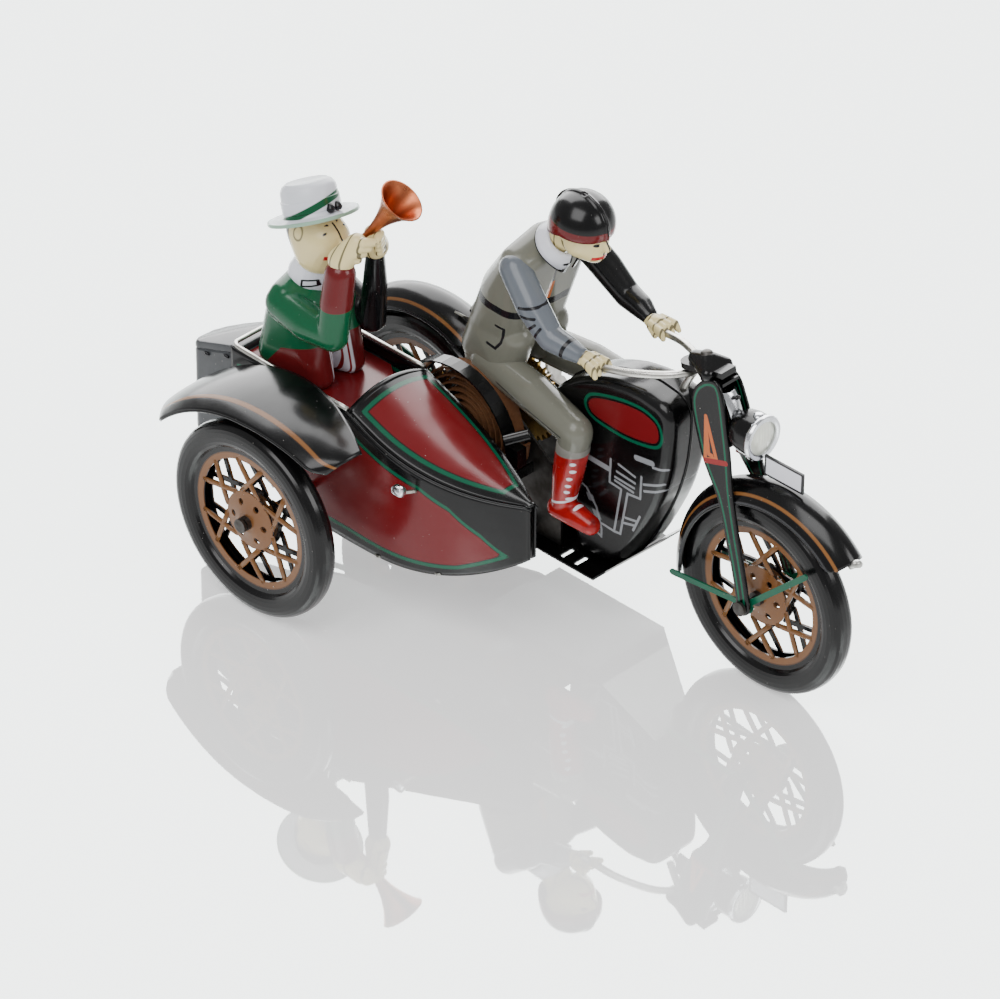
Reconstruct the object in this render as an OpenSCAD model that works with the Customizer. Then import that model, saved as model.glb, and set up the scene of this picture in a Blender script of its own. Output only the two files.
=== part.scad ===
// Tin wind-up motorcycle with sidecar, rider and horn-blowing passenger.
// X points forward, Y to the rider's left, Z up. Lengths are in millimetres.
// Shapes are laid out from the ground point of the front wheel in wheel radii,
// and place() then moves the whole toy so that its box stands centred on the origin.

/* [Wheels] */
// Radius of all three wheels
wheel_r = 27; // [26.5:0.1:27]
// Half the width of a tyre
tyre_half = 3.5; // [3:0.1:3.8]
// Distance between the front and rear axles, in wheel radii
wheelbase = 4.4; // [4.36:0.01:4.42]
// Spokes in each pressed wheel disc
spokes = 12; // [12:12:12]
// Width of a spoke
spoke_w = 1.2; // [0.9:0.1:1.5]

/* [Sheet metal] */
// Thickness of the lithographed tinplate
tin = 0.5; // [0.4:0.05:0.6]
// Thickness of the motor plates
plate_t = 0.7; // [0.6:0.1:0.9]

/* [Steering] */
// Lean of the steering head, in degrees
rake = 11.8; // [11:0.1:12.5]
// Radius of the steering stem
stem_r = 1.5; // [1.2:0.1:1.7]

/* [Clockwork] */
// Tooth module of the gear train
gear_m = 0.7; // [0.7:0.01:0.71]
// Teeth of the great wheel on the winding arbor
great_n = 36; // [36:1:36]
// Teeth of the intermediate wheel
inter_n = 34; // [34:1:34]
// Leaves of the intermediate pinion
inter_leaves = 12; // [12:1:12]
// Leaves of the axle pinion
axle_leaves = 14; // [14:1:14]
// Radius of axles and arbors
axle_r = 1; // [0.8:0.1:1.1]
// Radial running clearance of axles and arbors
run = 0.05; // [0.02:0.01:0.08]
// Turns of the mainspring
spring_turns = 7; // [5:1:8]

/* [Sidecar] */
// Half the width of the sidecar body, in wheel radii
car_half = 0.5; // [0.46:0.01:0.52]
// Side offset of the sidecar's middle, in wheel radii
car_y = -1.3; // [-1.34:0.01:-1.28]
// Side offset of the sidecar wheel, in wheel radii
car_wheel_y = -2.49; // [-2.52:0.01:-2.46]

/* [Hidden] */

R = wheel_r;
round_n = 48;
figure_n = 12;

// The box of the whole toy, which place() centres on the origin.
eyelet_at = [1.045 * R, 1.8 * R];
eyelet_len = 2.6;
eyelet_lean = 40;
front_x = eyelet_at[0] + tin * cos(eyelet_lean) + eyelet_len * sin(eyelet_lean);
rear_x = -5.86 * R;
car_wheel_c = car_wheel_y * R;
head_r = 1.9;
head_t = 0.8;
wheel_gap = 0.4;
bush_half = tyre_half + 0.7;
right_y = car_wheel_c - bush_half - wheel_gap - head_t;
left_y = 20.5;

// Axles
rear_c = [-wheelbase * R, R];
car_c = [-4.16 * R, R];
bush_r = 1.9;
disc_cone = 2.4;

// Steering head: its middle, on the axis that leans back by rake
head_c = [-0.69 * R, 2.73 * R];
tube_half = 7.2;
yoke_gap = 0.5;
yoke_t = 0.8;
blade_y = 0.31 * R;
blade_lean = 5.4;
blade_t = 0.8;
lean_gap = 0.2;
cap_z = 9.7;

// Motor plates stand at plate_y either side; the gear train runs outside the left of the tyre
plate_y = 8.1;
spring_c = [-3.3 * R, 1.55 * R];
great_r = gear_m * great_n / 2;
inter_r = gear_m * inter_n / 2;
leg_1 = gear_m * (great_n + inter_leaves) / 2;
leg_2 = gear_m * (inter_n + axle_leaves) / 2;
span = rear_c - spring_c;
span_len = norm(span);
along = (span_len * span_len + leg_1 * leg_1 - leg_2 * leg_2) / (2 * span_len);
aside = sqrt(leg_1 * leg_1 - along * along);
inter_c = spring_c + along * span / span_len + aside * [-span[1], span[0]] / span_len;
mesh_1 = atan2(inter_c[1] - spring_c[1], inter_c[0] - spring_c[0]);
mesh_2 = atan2(rear_c[1] - inter_c[1], rear_c[0] - inter_c[0]);
great_y = [4.2, 5.4];
inter_y = [6, 7];
spring_y = [-16, -10];
spring_out = 0.64 * R;
strip_t = 0.55;

// Footboard
board_z = 0.54 * R;
board_half = 0.5 * R;

// Sidecar stations
car_tail = -5.17 * R;
car_nose = -1.72 * R;
cockpit_x = -3.6 * R;
seat_z = 1.98 * R;

// ---------- helpers ----------

function arc(c, r, a0, a1, n) =
    [for (i = [0:n]) let (a = a0 + (a1 - a0) * i / n) [c[0] + r * cos(a), c[1] + r * sin(a)]];
function flat(rows) = [for (row = rows) for (p = row) p];
function steps(a, b, n) = [for (i = [0:n]) a + (b - a) * i / n];
function radii(points) = [for (p = points) p * R];

// Moves the toy from its drawing frame to the part's frame.
module place() {
    translate([-(front_x + rear_x) / 2, -(left_y + right_y) / 2, 0]) children();
}

// An upright sheet: a side-view outline given thickness from y0 to y1.
module side_sheet(y0, y1) {
    translate([0, max(y0, y1), 0]) rotate([90, 0, 0]) linear_extrude(abs(y1 - y0)) children();
}

// A round bar along Y at c = [x, z].
module cross_bar(c, r, y0, y1) {
    translate([c[0], y0, c[1]]) rotate([-90, 0, 0]) cylinder(r = r, h = y1 - y0, $fn = round_n);
}

// A round bar between two points.
module bar(a, b, r) {
    d = b - a;
    translate(a) rotate([0, acos(d[2] / norm(d)), atan2(d[1], d[0])])
        cylinder(r = r, h = norm(d), $fn = 32);
}

// A closed sheet between two grids of points; rows crossed with columns face outwards.
module skin(outer, inner) {
    n = len(outer);
    m = len(outer[0]);
    function o(i, j) = i * m + j;
    function p(i, j) = n * m + i * m + j;
    walls = [for (i = [0:n - 2]) for (j = [0:m - 2]) each [
        [o(i, j), o(i, j + 1), o(i + 1, j + 1)], [o(i, j), o(i + 1, j + 1), o(i + 1, j)],
        [p(i, j), p(i + 1, j + 1), p(i, j + 1)], [p(i, j), p(i + 1, j), p(i + 1, j + 1)]]];
    first = [for (i = [0:n - 2]) each [
        [o(i, 0), o(i + 1, 0), p(i + 1, 0)], [o(i, 0), p(i + 1, 0), p(i, 0)]]];
    last = [for (i = [0:n - 2]) each [
        [o(i + 1, m - 1), o(i, m - 1), p(i, m - 1)],
        [o(i + 1, m - 1), p(i, m - 1), p(i + 1, m - 1)]]];
    ends = [for (j = [0:m - 2]) each [
        [o(0, j + 1), o(0, j), p(0, j)], [o(0, j + 1), p(0, j), p(0, j + 1)],
        [o(n - 1, j), o(n - 1, j + 1), p(n - 1, j + 1)],
        [o(n - 1, j), p(n - 1, j + 1), p(n - 1, j)]]];
    polyhedron(concat(flat(outer), flat(inner)), concat(walls, first, last, ends));
}

// A tapered limb between two balls, given as [x, y, z, r] in wheel radii, thinned by g.
module limb(balls, g = 0) {
    hull() for (b = balls)
        translate([b[0], b[1], b[2]] * R) sphere(r = b[3] * R - g, $fn = figure_n);
}

// Keeps the side of a figure that lies right (side = -1) or left (side = 1) of y = mid.
module half_of(side, mid) {
    intersection() {
        children();
        translate([-7 * R, side > 0 ? mid : mid - 2 * R, 0]) cube([8 * R, 2 * R, 5 * R]);
    }
}

// ---------- wheels ----------

// Cross-section of a tyre and rim pressing, as [radius, side], on the side's positive half.
tyre_mid = 0.865 * R;
tyre_tall = R - tyre_mid;
rim_in = 0.63 * R;
rim_side = 1.7;
function tyre_edge(tall, wide) = [for (a = [0:15:150])
    [tyre_mid + tall * sign(cos(a)) * pow(abs(cos(a)), 0.8), wide * pow(sin(a), 0.8)]];
tyre_section = concat(tyre_edge(tyre_tall, tyre_half), [[rim_in, rim_side],
    [rim_in, rim_side - tin], [tyre_mid - 0.8 * tyre_tall, rim_side - tin]],
    [for (i = [8:-1:0]) tyre_edge(tyre_tall - tin, tyre_half - tin)[i]]);
hub_section = [[0.3 * R, rim_side], [0.3 * R, rim_side - tin], [bush_r, disc_cone],
    [bush_r, disc_cone + tin], [0.1 * R, disc_cone + tin], [0.2 * R, 2.2]];

// One crossed pair of spokes, centred on the +X direction of the disc.
module spoke_pair() {
    cross_r = 0.42 * R;
    rim_p = 0.65 * R * [cos(15), sin(15)];
    slope = atan2(rim_p[1], rim_p[0] - cross_r);
    for (s = [-1, 1]) translate([cross_r, 0]) rotate(s * slope)
        translate([-0.19 * R, -spoke_w / 2]) square([0.19 * R + norm(rim_p - [cross_r, 0]), spoke_w]);
}

// A stamped half: side = 1 faces +Y. It is drawn about the Z axis and laid on its side.
module wheel_half(c, y, side) {
    place() translate([c[0], y, c[1]]) rotate([side > 0 ? -90 : 90, 0, 0]) {
        rotate_extrude($fn = 96) polygon(tyre_section);
        difference() {
            rotate_extrude($fn = round_n) polygon(hub_section);
            for (a = [0:60:300]) rotate(a) translate([0.2 * R, 0, -1]) cylinder(r = 0.9, h = 6, $fn = 24);
        }
        translate([0, 0, rim_side - tin]) linear_extrude(tin) for (k = [0:spokes / 2 - 1])
            rotate(30 + 60 * k) spoke_pair();
    }
}

module wheel_bush(c, y, bore) {
    place() difference() {
        cross_bar(c, bush_r, y - bush_half, y + bush_half);
        cross_bar(c, bore, y - bush_half - 1, y + bush_half + 1);
    }
}

// ---------- gears ----------

function involute(rb, r) = let (t = sqrt(pow(r / rb, 2) - 1)) t * 180 / PI - atan(t);

// One gear outline with stub teeth; a tooth is centred on the angle phase.
function gear_points(n, phase) =
    let (rp = gear_m * n / 2, rb = rp * cos(20), rt = rp + 0.8 * gear_m, rf = rp - 1.1 * gear_m,
        half = 0.43 * 180 / n, at_rp = involute(rb, rp), low = max(rb, rf),
        flank = [for (i = [0:4]) let (r = low + (rt - low) * i / 4) [r, half + at_rp - involute(rb, r)]],
        tooth = concat([[rf, flank[0][1]]], flank))
    [for (k = [0:n - 1]) let (mid = phase + 360 * k / n) each concat(
        [for (p = tooth) p[0] * [cos(mid - p[1]), sin(mid - p[1])]],
        [for (i = [len(tooth) - 1:-1:0]) let (p = tooth[i]) p[0] * [cos(mid + p[1]), sin(mid + p[1])]])];

module gear(c, ys, n, phase, bore) {
    place() difference() {
        translate([c[0], 0, c[1]]) side_sheet(ys[0], ys[1]) polygon(gear_points(n, phase));
        cross_bar(c, bore, ys[0] - 1, ys[1] + 1);
    }
}

// ---------- motorcycle body ----------

body_half_w = 0.28 * R;
body_outline = radii(concat([[-1.49, 0.78], [-1.15, 1.46], [-1.02, 1.9], [-0.98, 2.3]],
    arc([-1.2, 2.44], 0.22, 0, 90, 5), [[-1.4, 2.69], [-1.8, 2.62], [-2.2, 2.44], [-2.5, 2.2],
    [-2.56, 1.95], [-2.25, 1.7], [-2.24, 0.56], [-1.72, 0.56]]));

module body_half(side) {
    color("black") place() difference() {
        side_sheet(0, side * body_half_w) polygon(body_outline);
        side_sheet(-side, side * (body_half_w - tin)) offset(delta = -tin) polygon(body_outline);
        translate([-1.1 * R, -0.45, 2.5 * R]) cube([0.2 * R, 0.9, 0.5 * R]);
    }
}
module body_right_half() { body_half(-1); }
module body_left_half() { body_half(1); }

// Turns children into the leaning frame of the steering head.
module in_head() { place() translate([head_c[0], 0, head_c[1]]) rotate([0, -rake, 0]) children(); }

module head_tube() {
    color("black") in_head() difference() {
        union() {
            translate([0, 0, -tube_half]) cylinder(r = 2.6, h = 2 * tube_half, $fn = round_n);
            translate([-8.6, -0.4, -3.2]) cube([7.4, 0.8, 6.4]);
        }
        translate([0, 0, -tube_half - 1]) cylinder(r = stem_r + run, h = 2 * tube_half + 2, $fn = round_n);
    }
}

// Flat board under the engine, with its front rising and narrowing to the head.
board_rise = [[-1.72 * R, board_z - tin], [-1.1 * R, 1.13 * R]];
module footboard() {
    color("black") place() {
        difference() {
            translate([-3.1 * R, -board_half, board_z - tin]) cube([1.39 * R, 2 * board_half, tin]);
            for (x = [-2.2, -2.02]) translate([x * R, -0.44 * R, 0]) cube([1.4, 0.16 * R, R]);
        }
        skin([for (t = steps(0, 1, 4)) let (w = board_half * (1 - 0.5 * t),
                p = board_rise[0] * (1 - t) + board_rise[1] * t)
                [for (s = steps(-1, 1, 4)) [p[0], w * s, p[1] + tin]]],
            [for (t = steps(0, 1, 4)) let (w = board_half * (1 - 0.5 * t),
                p = board_rise[0] * (1 - t) + board_rise[1] * t)
                [for (s = steps(-1, 1, 4)) [p[0], w * s, p[1]]]]);
    }
}

// ---------- clockwork ----------

plate_outline = radii([[-4.56, 0.84], [-4.6, 1.0], [-4.54, 1.15], [-3.72, 1.7], [-3.3, 1.8],
    [-2.9, 1.74], [-2.44, 1.4], [-2.3, 1.1], [-2.3, 0.54], [-3.2, 0.54], [-3.9, 0.72]]);
pillar_at = radii([[-2.42, 0.72], [-2.44, 1.24], [-3.24, 0.68]]);

module motor_plate(side) {
    color("dimgray") place() difference() {
        side_sheet(side * plate_y, side * (plate_y + plate_t)) polygon(plate_outline);
        for (c = side < 0 ? [spring_c, rear_c] : [spring_c, inter_c, rear_c])
            cross_bar(c, axle_r + run, -20, 20);
    }
}
module motor_plate_right() { motor_plate(-1); }
module motor_plate_left() { motor_plate(1); }
pillar_r = 1.2;
module motor_pillars() {
    color("silver") place() for (c = pillar_at) cross_bar(c, pillar_r, -plate_y, plate_y);
}

// A flat strip wound from the arbor out to its anchored end.
module mainspring() {
    inner = 3.4;
    pitch = (spring_out - inner) / spring_turns;
    at = steps(0, spring_turns * 360, spring_turns * 24);
    color("saddlebrown") place() translate([spring_c[0], 0, spring_c[1]])
        side_sheet(spring_y[0], spring_y[1]) polygon(concat(
            [for (a = at) let (r = inner + pitch * a / 360) r * [cos(a), sin(a)]],
            [for (i = [len(at) - 1:-1:0]) let (a = at[i], r = inner + pitch * a / 360 - strip_t)
                r * [cos(a), sin(a)]]));
}

guard_y = [-0.77 * R, -0.62 * R];
guard_foot = 9;
module spring_guard() {
    color("black") place() {
        translate([spring_c[0], 0, spring_c[1]]) side_sheet(guard_y[0], guard_y[1]) polygon(concat(
            arc([0, 0], 0.73 * R, -25, 155, 20), arc([0, 0], 0.73 * R - tin, 155, -25, 20)));
        translate([-2.68 * R, -plate_y - plate_t - guard_foot, 1.2 * R]) cube([tin, guard_foot, 3]);
        translate([-2.68 * R, guard_y[0], 1.2 * R]) cube([tin, guard_y[1] - guard_y[0], 3]);
    }
}
module spring_post() {
    color("dimgray") place() {
        bar([-2.54, -0.84, 1.86] * R, [-2.38, -0.68, 1.93] * R, 1.4);
        translate([-2.555 * R, -0.79 * R, 1.56 * R]) cube([3.6, 3.2, 5.5]);
    }
}

// ---------- fenders and stays ----------

// A fender shell: rows follow the angle, columns cross from +Y to -Y with a crown of depth dip.
// Its radius grows by grow over the last hundred degrees past from, to clear the tyre.
function flare(base, grow, from, a) = (base + grow * pow(max(0, a - from) / 100, 2)) * R;
function fender_rows(c, radius_at, y_mid, half, dip, a0, a1, n, sink) =
    [for (a = steps(a0, a1, n)) [for (s = steps(1, -1, 6))
        let (r = radius_at(a) - dip * s * s - sink)
            [c[0] + r * cos(a), y_mid + half * s, c[1] + r * sin(a)]]];
module fender(c, radius_at, y_mid, half, dip, a0, a1, n) {
    skin(fender_rows(c, radius_at, y_mid, half, dip, a0, a1, n, 0),
        fender_rows(c, radius_at, y_mid, half, dip, a0, a1, n, tin));
}

front_fender_c = radii([0.2, 1.1]);
module front_fender() {
    color("black") place() {
        fender(front_fender_c, function(a) flare(1.145, 0.145, 100, a), 0, 0.21 * R, 0.17 * R, 42, 193, 24);
        translate([eyelet_at[0], -2, eyelet_at[1]]) rotate([0, eyelet_lean, 0]) cube([tin, 4, eyelet_len]);
    }
}
rear_fender_c = radii([-4.25, 1.1]);
module rear_fender() {
    color("black") place()
        fender(rear_fender_c, function(a) flare(1.2, 0.13, 150, a), 0, 0.24 * R, 0.16 * R, 60, 205, 24);
}
// Spring clips straddling the rear fender's front edge and the front fender's seam.
module fender_clips() {
    color("silver") place() for (s = [-1, 1])
        translate([-3.9 * R, s * 1.9, 2.26 * R]) rotate([s * -50, 0, 0]) cube([3, 0.5, 2.4]);
}

stay_w = 1.6;
eye_r = 2.4;
front_stay_y = 7.1;
rear_stay_y = 9;
// A strip with round ends in the side plane from a to b.
module strip(a, b, w) {
    hull() for (p = [a, b]) translate(p) circle(r = w / 2, $fn = 24);
}
module front_stays() {
    color("darkgreen") place() for (s = [-1, 1])
        difference() {
            union() {
                for (end = [[0.7, 1.66], [-0.92, 0.91]])
                    side_sheet(s * front_stay_y, s * (front_stay_y + tin)) strip([0, R], end * R, stay_w);
                side_sheet(s * front_stay_y, s * (front_stay_y + tin)) translate([0, R]) circle(r = eye_r, $fn = 32);
            }
            cross_bar([0, R], axle_r, -20, 20);
        }
}
module rear_stays() {
    color("darkgreen") place() for (s = [-1, 1]) difference() {
        union() {
            side_sheet(s * rear_stay_y, s * (rear_stay_y + tin)) strip(rear_c, radii([-5.36, 1.2]), stay_w);
            side_sheet(s * rear_stay_y, s * (rear_stay_y + tin)) translate(rear_c) circle(r = eye_r, $fn = 32);
        }
        cross_bar(rear_c, axle_r + run, -20, 20);
    }
}

// ---------- fork ----------

blade_outline = radii([[0.08, 0.95], [0, 0.9], [-0.08, 0.95], [-0.065, 1.05], [-0.4, 1.94],
    [-0.52, 2.1], [-0.66, 2.3], [-0.86, 2.78], [-0.83, 2.96], [-0.72, 3.08], [-0.58, 3.12],
    [-0.5, 3.04], [-0.42, 2.77], [-0.32, 2.4], [-0.245, 2.02], [0.085, 1.07]]);
// Each blade leans in towards the head, turning about the axle's level.
module fork_blade(side) {
    color("black") place() difference() {
        translate([0, side * blade_y, R]) rotate([side * blade_lean, 0, 0]) translate([0, 0, -R])
            side_sheet(0, side * blade_t) polygon(blade_outline);
        cross_bar([0, R], axle_r, -20, 20);
    }
}
module fork_blade_right() { fork_blade(-1); }
module fork_blade_left() { fork_blade(1); }

module fork_yokes() {
    color("black") in_head() difference() {
        for (end = [[-tube_half - yoke_gap - yoke_t, 4.2], [tube_half + yoke_gap, 2.9]])
            translate([0, 0, end[0]]) linear_extrude(yoke_t) union() {
                circle(r = end[1], $fn = round_n);
                translate([0, -end[1]]) square([6.4, 2 * end[1]]);
            }
        translate([0, 0, -20]) cylinder(r = stem_r, h = 40, $fn = round_n);
    }
}
module steering_stem() {
    color("silver") in_head() translate([0, 0, -10]) cylinder(r = stem_r, h = cap_z + 11, $fn = round_n);
}
module head_cap() {
    color("black") in_head() translate([0, 0, cap_z]) difference() {
        linear_extrude(1.6) union() {
            circle(r = 3, $fn = round_n);
            translate([-6, 0]) circle(r = 3, $fn = round_n);
            translate([-6, -3]) square([6, 6]);
            translate([0, -2.6]) square([6.2, 5.2]);
        }
        translate([0, 0, -1]) cylinder(r = stem_r, h = 2, $fn = round_n);
    }
}
module axle_pin(c, y0, y1, head_low, head_high) {
    place() {
        cross_bar(c, axle_r, y0, y1);
        if (head_low) cross_bar(c, head_r, y0 - head_t, y0);
        if (head_high) cross_bar(c, head_r, y1, y1 + head_t);
    }
}
module front_axle() {
    color("silver") axle_pin([0, R], -blade_y - blade_t - lean_gap, blade_y + blade_t + lean_gap, true, true);
}

// ---------- headlight and number plate ----------

lamp_at = [-0.11 * R, 0, 2.655 * R];
lamp_r = 0.21 * R;
module along_lamp() { place() translate(lamp_at) rotate([0, 90, 0]) children(); }
module headlight_shell() {
    bowl = [for (a = [0:10:90]) [lamp_r * cos(a), -1 - 8 * sin(a)]];
    inside = [for (a = [90:-10:0]) [(lamp_r - tin) * cos(a), -1 - (8 - tin) * sin(a)]];
    color("black") along_lamp() rotate_extrude($fn = round_n) polygon(concat(bowl, inside));
}
module headlight_rim() {
    color("silver") along_lamp() difference() {
        translate([0, 0, -1]) cylinder(r = lamp_r + 0.45, h = 1.6, $fn = 64);
        translate([0, 0, -2]) cylinder(r = lamp_r - 0.7, h = 4, $fn = 64);
    }
}
module headlight_lens() {
    color("lightyellow") along_lamp() translate([0, 0, -0.7])
        cylinder(r = lamp_r - 0.7, h = 0.8, $fn = 64);
}
module headlight_bracket() {
    color("black") place() difference() {
        translate([-0.385 * R, -1.5, 2.4 * R]) cube([3.4, 3, 0.15 * R]);
        translate(lamp_at) rotate([0, -90, 0]) cylinder(r = lamp_r, h = 12, $fn = round_n);
    }
}
module number_plate() {
    color("white") place() side_sheet(-0.3, 0.3)
        polygon(radii([[-0.07, 2.285], [0.4, 2.285], [0.4, 2.5], [-0.07, 2.5]]));
}

// ---------- handlebar ----------

wire_r = 1;
bar_points = [for (p = [[-1.84, 0.44, 2.82], [-1.45, 0.36, 2.9], [-1.16, 0.23, 2.95],
    [-1.0, 0.09, 2.97], [-0.97, 0, 2.97]]) p * R];
// A length of wire with round ends, and one length of the bar on either side.
module wire(a, b, r) {
    hull() for (p = [a, b]) translate(p) sphere(r = r, $fn = 16);
}
module bar_length(i, side, r) {
    wire([bar_points[i][0], side * bar_points[i][1], bar_points[i][2]],
        [bar_points[i + 1][0], side * bar_points[i + 1][1], bar_points[i + 1][2]], r);
}
module handlebar() {
    color("silver") place() {
        for (side = [-1, 1]) for (i = [0:len(bar_points) - 2]) bar_length(i, side, wire_r);
        wire([-0.97, 0, 2.97] * R, [-1.1, 0, 2.72] * R, wire_r);
    }
}

// ---------- rider ----------

module rider_form(g, side) {
    // trunk, leaning forward, and the shoulders
    limb([[-3.42, side * 0.2, 2.4, 0.22], [-3.1, side * 0.2, 2.4, 0.2], [-3.14, side * 0.22, 3.0, 0.24],
        [-2.86, side * 0.26, 3.5, 0.2], [-2.86, 0, 3.5, 0.22], [-3.3, 0, 2.42, 0.24]], g);
    limb([[-2.74, 0, 3.55, 0.14], [-2.55, 0, 3.8, 0.16]], g);
    // head under the helmet
    limb([[-2.25, 0, 3.76, 0.13], [-2.42, side * 0.06, 3.98, 0.27], [-2.3, 0, 3.98, 0.27]], g);
    // seat and thigh
    limb([[-3.5, side * 0.25, 2.1, 0.16], [-3.2, side * 0.26, 2.18, 0.18], [-3.3, side * 0.25, 2.4, 0.18]], g);
    limb([[-3.3, side * 0.26, 2.14, 0.17], [-1.98, side * 0.46, 2.05, 0.17]], g);
    // shin and boot
    limb([[-2.0, side * 0.46, 2.0, 0.17], [-2.14, side * 0.46, 1.2, 0.12]], g);
    limb([[-2.22, side * 0.45, 1.1, 0.12], [-1.82, side * 0.45, 1.08, 0.1]], g);
}
module rider_arm(side) {
    limb([[-2.8, side * 0.42, 3.44, 0.16], [-2.26, side * 0.52, 2.95, 0.13]]);
    limb([[-2.26, side * 0.52, 2.95, 0.13], [-1.9, side * 0.45, 2.88, 0.08]]);
}
module rider_half(side) {
    color("gray") place() difference() {
        half_of(side, 0) union() {
            rider_form(0, side);
            rider_arm(side);
            translate([-1.9 * R, side * 0.44 * R - 2.2, 2.8 * R - 0.6]) cube([6, 4.4, 4]);
        }
        rider_form(tin, side);
        translate([-3.86 * R, -body_half_w - 0.2, 1.4 * R]) cube([1.32 * R, 2 * body_half_w + 0.4, 0.68 * R]);
        side_sheet(-body_half_w - 0.1, body_half_w + 0.1) offset(delta = 0.1) polygon(body_outline);
        cross_bar(spring_c, spring_out + 0.3, spring_y[0] - 0.3, spring_y[1] + 0.3);
        for (i = [0, 1]) bar_length(i, side, wire_r + 0.03);
    }
}
module rider_right_half() { rider_half(-1); }
module rider_left_half() { rider_half(1); }

// ---------- sidecar ----------

function car_w(x) = let (t = max(0, (x / R + 3.3) / 1.58)) max(0.03, car_half * (1 - t * t)) * R;
function seam_z(x) = let (s = min(1, max(0, (-1.9 - x / R) / 1.76))) (1.72 + 0.4 * s * s) * R;
function keel_z(x) = let (t = max(0, (x / R + 3.9) / 2.12), b = max(0, (-3.9 - x / R) / 1.27))
    (0.6 + 0.52 * t * t * t + 0.3 * b * b) * R;
function tuck(v) = 1 - 0.16 * (1 - v) * (1 - v);
car_xs = concat(steps(car_tail, -3.3 * R, 6), steps(-3.15 * R, car_nose, 12));

function side_rows(side, inset) = [for (x = car_xs) [for (v = side < 0 ? steps(0, 1, 5) : steps(1, 0, 5))
    [x, car_y * R + side * (car_w(x) * tuck(v) - inset), keel_z(x) + (seam_z(x) - keel_z(x)) * v]]];
module sidecar_side(side) {
    color("darkred") place() difference() {
        skin(side_rows(side, 0), side_rows(side, tin));
        if (side < 0) cross_bar(car_c, axle_r, car_wheel_c, car_y * R);
    }
}
module sidecar_side_right() { sidecar_side(-1); }
module sidecar_side_left() { sidecar_side(1); }

module sidecar_floor() {
    xs = [for (x = car_xs) if (x < -2.2 * R) x];
    color("black") place() {
        skin([for (x = xs) [for (s = steps(1, -1, 4))
                [x, car_y * R + s * (car_w(x) * tuck(0) - tin - 0.02), keel_z(x) + 0.05]]],
            [for (x = xs) [for (s = steps(1, -1, 4))
                [x, car_y * R + s * (car_w(x) * tuck(0) - tin - 0.02), keel_z(x) + 0.05 + tin]]]);
        translate([car_tail, car_y * R - 0.4 * R, 0.96 * R]) cube([tin, 0.8 * R, 0.98 * R]);
    }
}

// The cowl closes the top from the cockpit to the nose and is crowned across.
cowl_xs = concat([cockpit_x], [for (x = car_xs) if (x > cockpit_x + 1) x]);
function cowl_rows(lift) = [for (x = cowl_xs) [for (s = steps(-1, 1, 8))
    let (crown = 0.13 * R * (1 - s * s) * car_w(x) / (car_half * R))
        [x, car_y * R + s * car_w(x), seam_z(x) + crown + lift]]];
module sidecar_cowl() { color("darkred") place() skin(cowl_rows(tin + 0.05), cowl_rows(0.05)); }

rim_r = 0.6;
module cockpit_rim() {
    z = seam_z(car_tail) + rim_r;
    y0 = (car_y - car_half) * R;
    y1 = (car_y + car_half) * R;
    corners = [[cockpit_x - 0.8, y0, z], [car_tail, y0, z], [car_tail, y1, z], [cockpit_x - 0.8, y1, z]];
    color("silver") place() {
        for (i = [0:2]) bar(corners[i], corners[i + 1], rim_r);
        for (i = [1, 2]) translate(corners[i]) sphere(r = rim_r, $fn = 32);
    }
}
module seat_plate() {
    w = car_half * R - tin - 0.1;
    color("darkred") place() translate([0, car_y * R, seat_z - tin]) linear_extrude(tin)
        polygon([[car_tail + 0.6, -w], [cockpit_x - 2, -w], [cockpit_x, 3 - w], [cockpit_x, 0.15 * R],
            [cockpit_x - 0.45 * R, w], [car_tail + 0.6, w]]);
}
// The trunk closes the tail; its lid falls to the rear and its far corner is cut away.
trunk_low = 0.86 * R;
lid_z = 2.06 * R;
lid_fall = 19.6;
trunk_corner = 0.12 * R;
trunk_right = -1.7 * R;
trunk_plan = concat([[car_tail, trunk_right]],
    arc([rear_x + trunk_corner, trunk_right + trunk_corner], trunk_corner, 270, 180, 5),
    radii([[-5.84, -1.42], [-5.76, -1.31], [-5.62, -1.2], [-5.42, -1.1], [-5.17, -1.02]]));
module trunk_body(inset) {
    intersection() {
        translate([0, 0, trunk_low + inset]) linear_extrude(lid_z) offset(delta = -inset) polygon(trunk_plan);
        translate([car_tail, 0, lid_z - inset]) rotate([0, -lid_fall, 0]) translate([-2 * R, -3 * R, -2 * R])
            cube([3 * R, 3 * R, 2 * R]);
    }
}
module trunk() {
    color("dimgray") place() difference() {
        trunk_body(0);
        trunk_body(tin);
    }
}

// The fender stands off the wheel more towards both ends, where its inner edge also draws out.
function end_share(a) = pow((a - 95) / (a < 95 ? 49 : 63), 2);
function car_fender_r(a) = (1.235 + 0.25 * end_share(a)) * R;
module sidecar_fender() {
    color("black") place() skin(
        [for (a = steps(45, 158, 24)) [for (s = steps(0, 1, 6)) car_fender_point(a, s, 0)]],
        [for (a = steps(45, 158, 24)) [for (s = steps(0, 1, 6)) car_fender_point(a, s, tin)]]);
}
// s runs from the edge at the sidecar body (0) to the outer edge (1), which curls down.
function car_fender_point(a, s, sink) =
    let (r = car_fender_r(a) - 0.15 * R * pow(s, 3) - sink, y_in = (-1.83 - 0.3 * end_share(a)) * R)
    [car_c[0] + r * cos(a), y_in * (1 - s) - 2.6 * R * s, car_c[1] + r * sin(a)];

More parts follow.
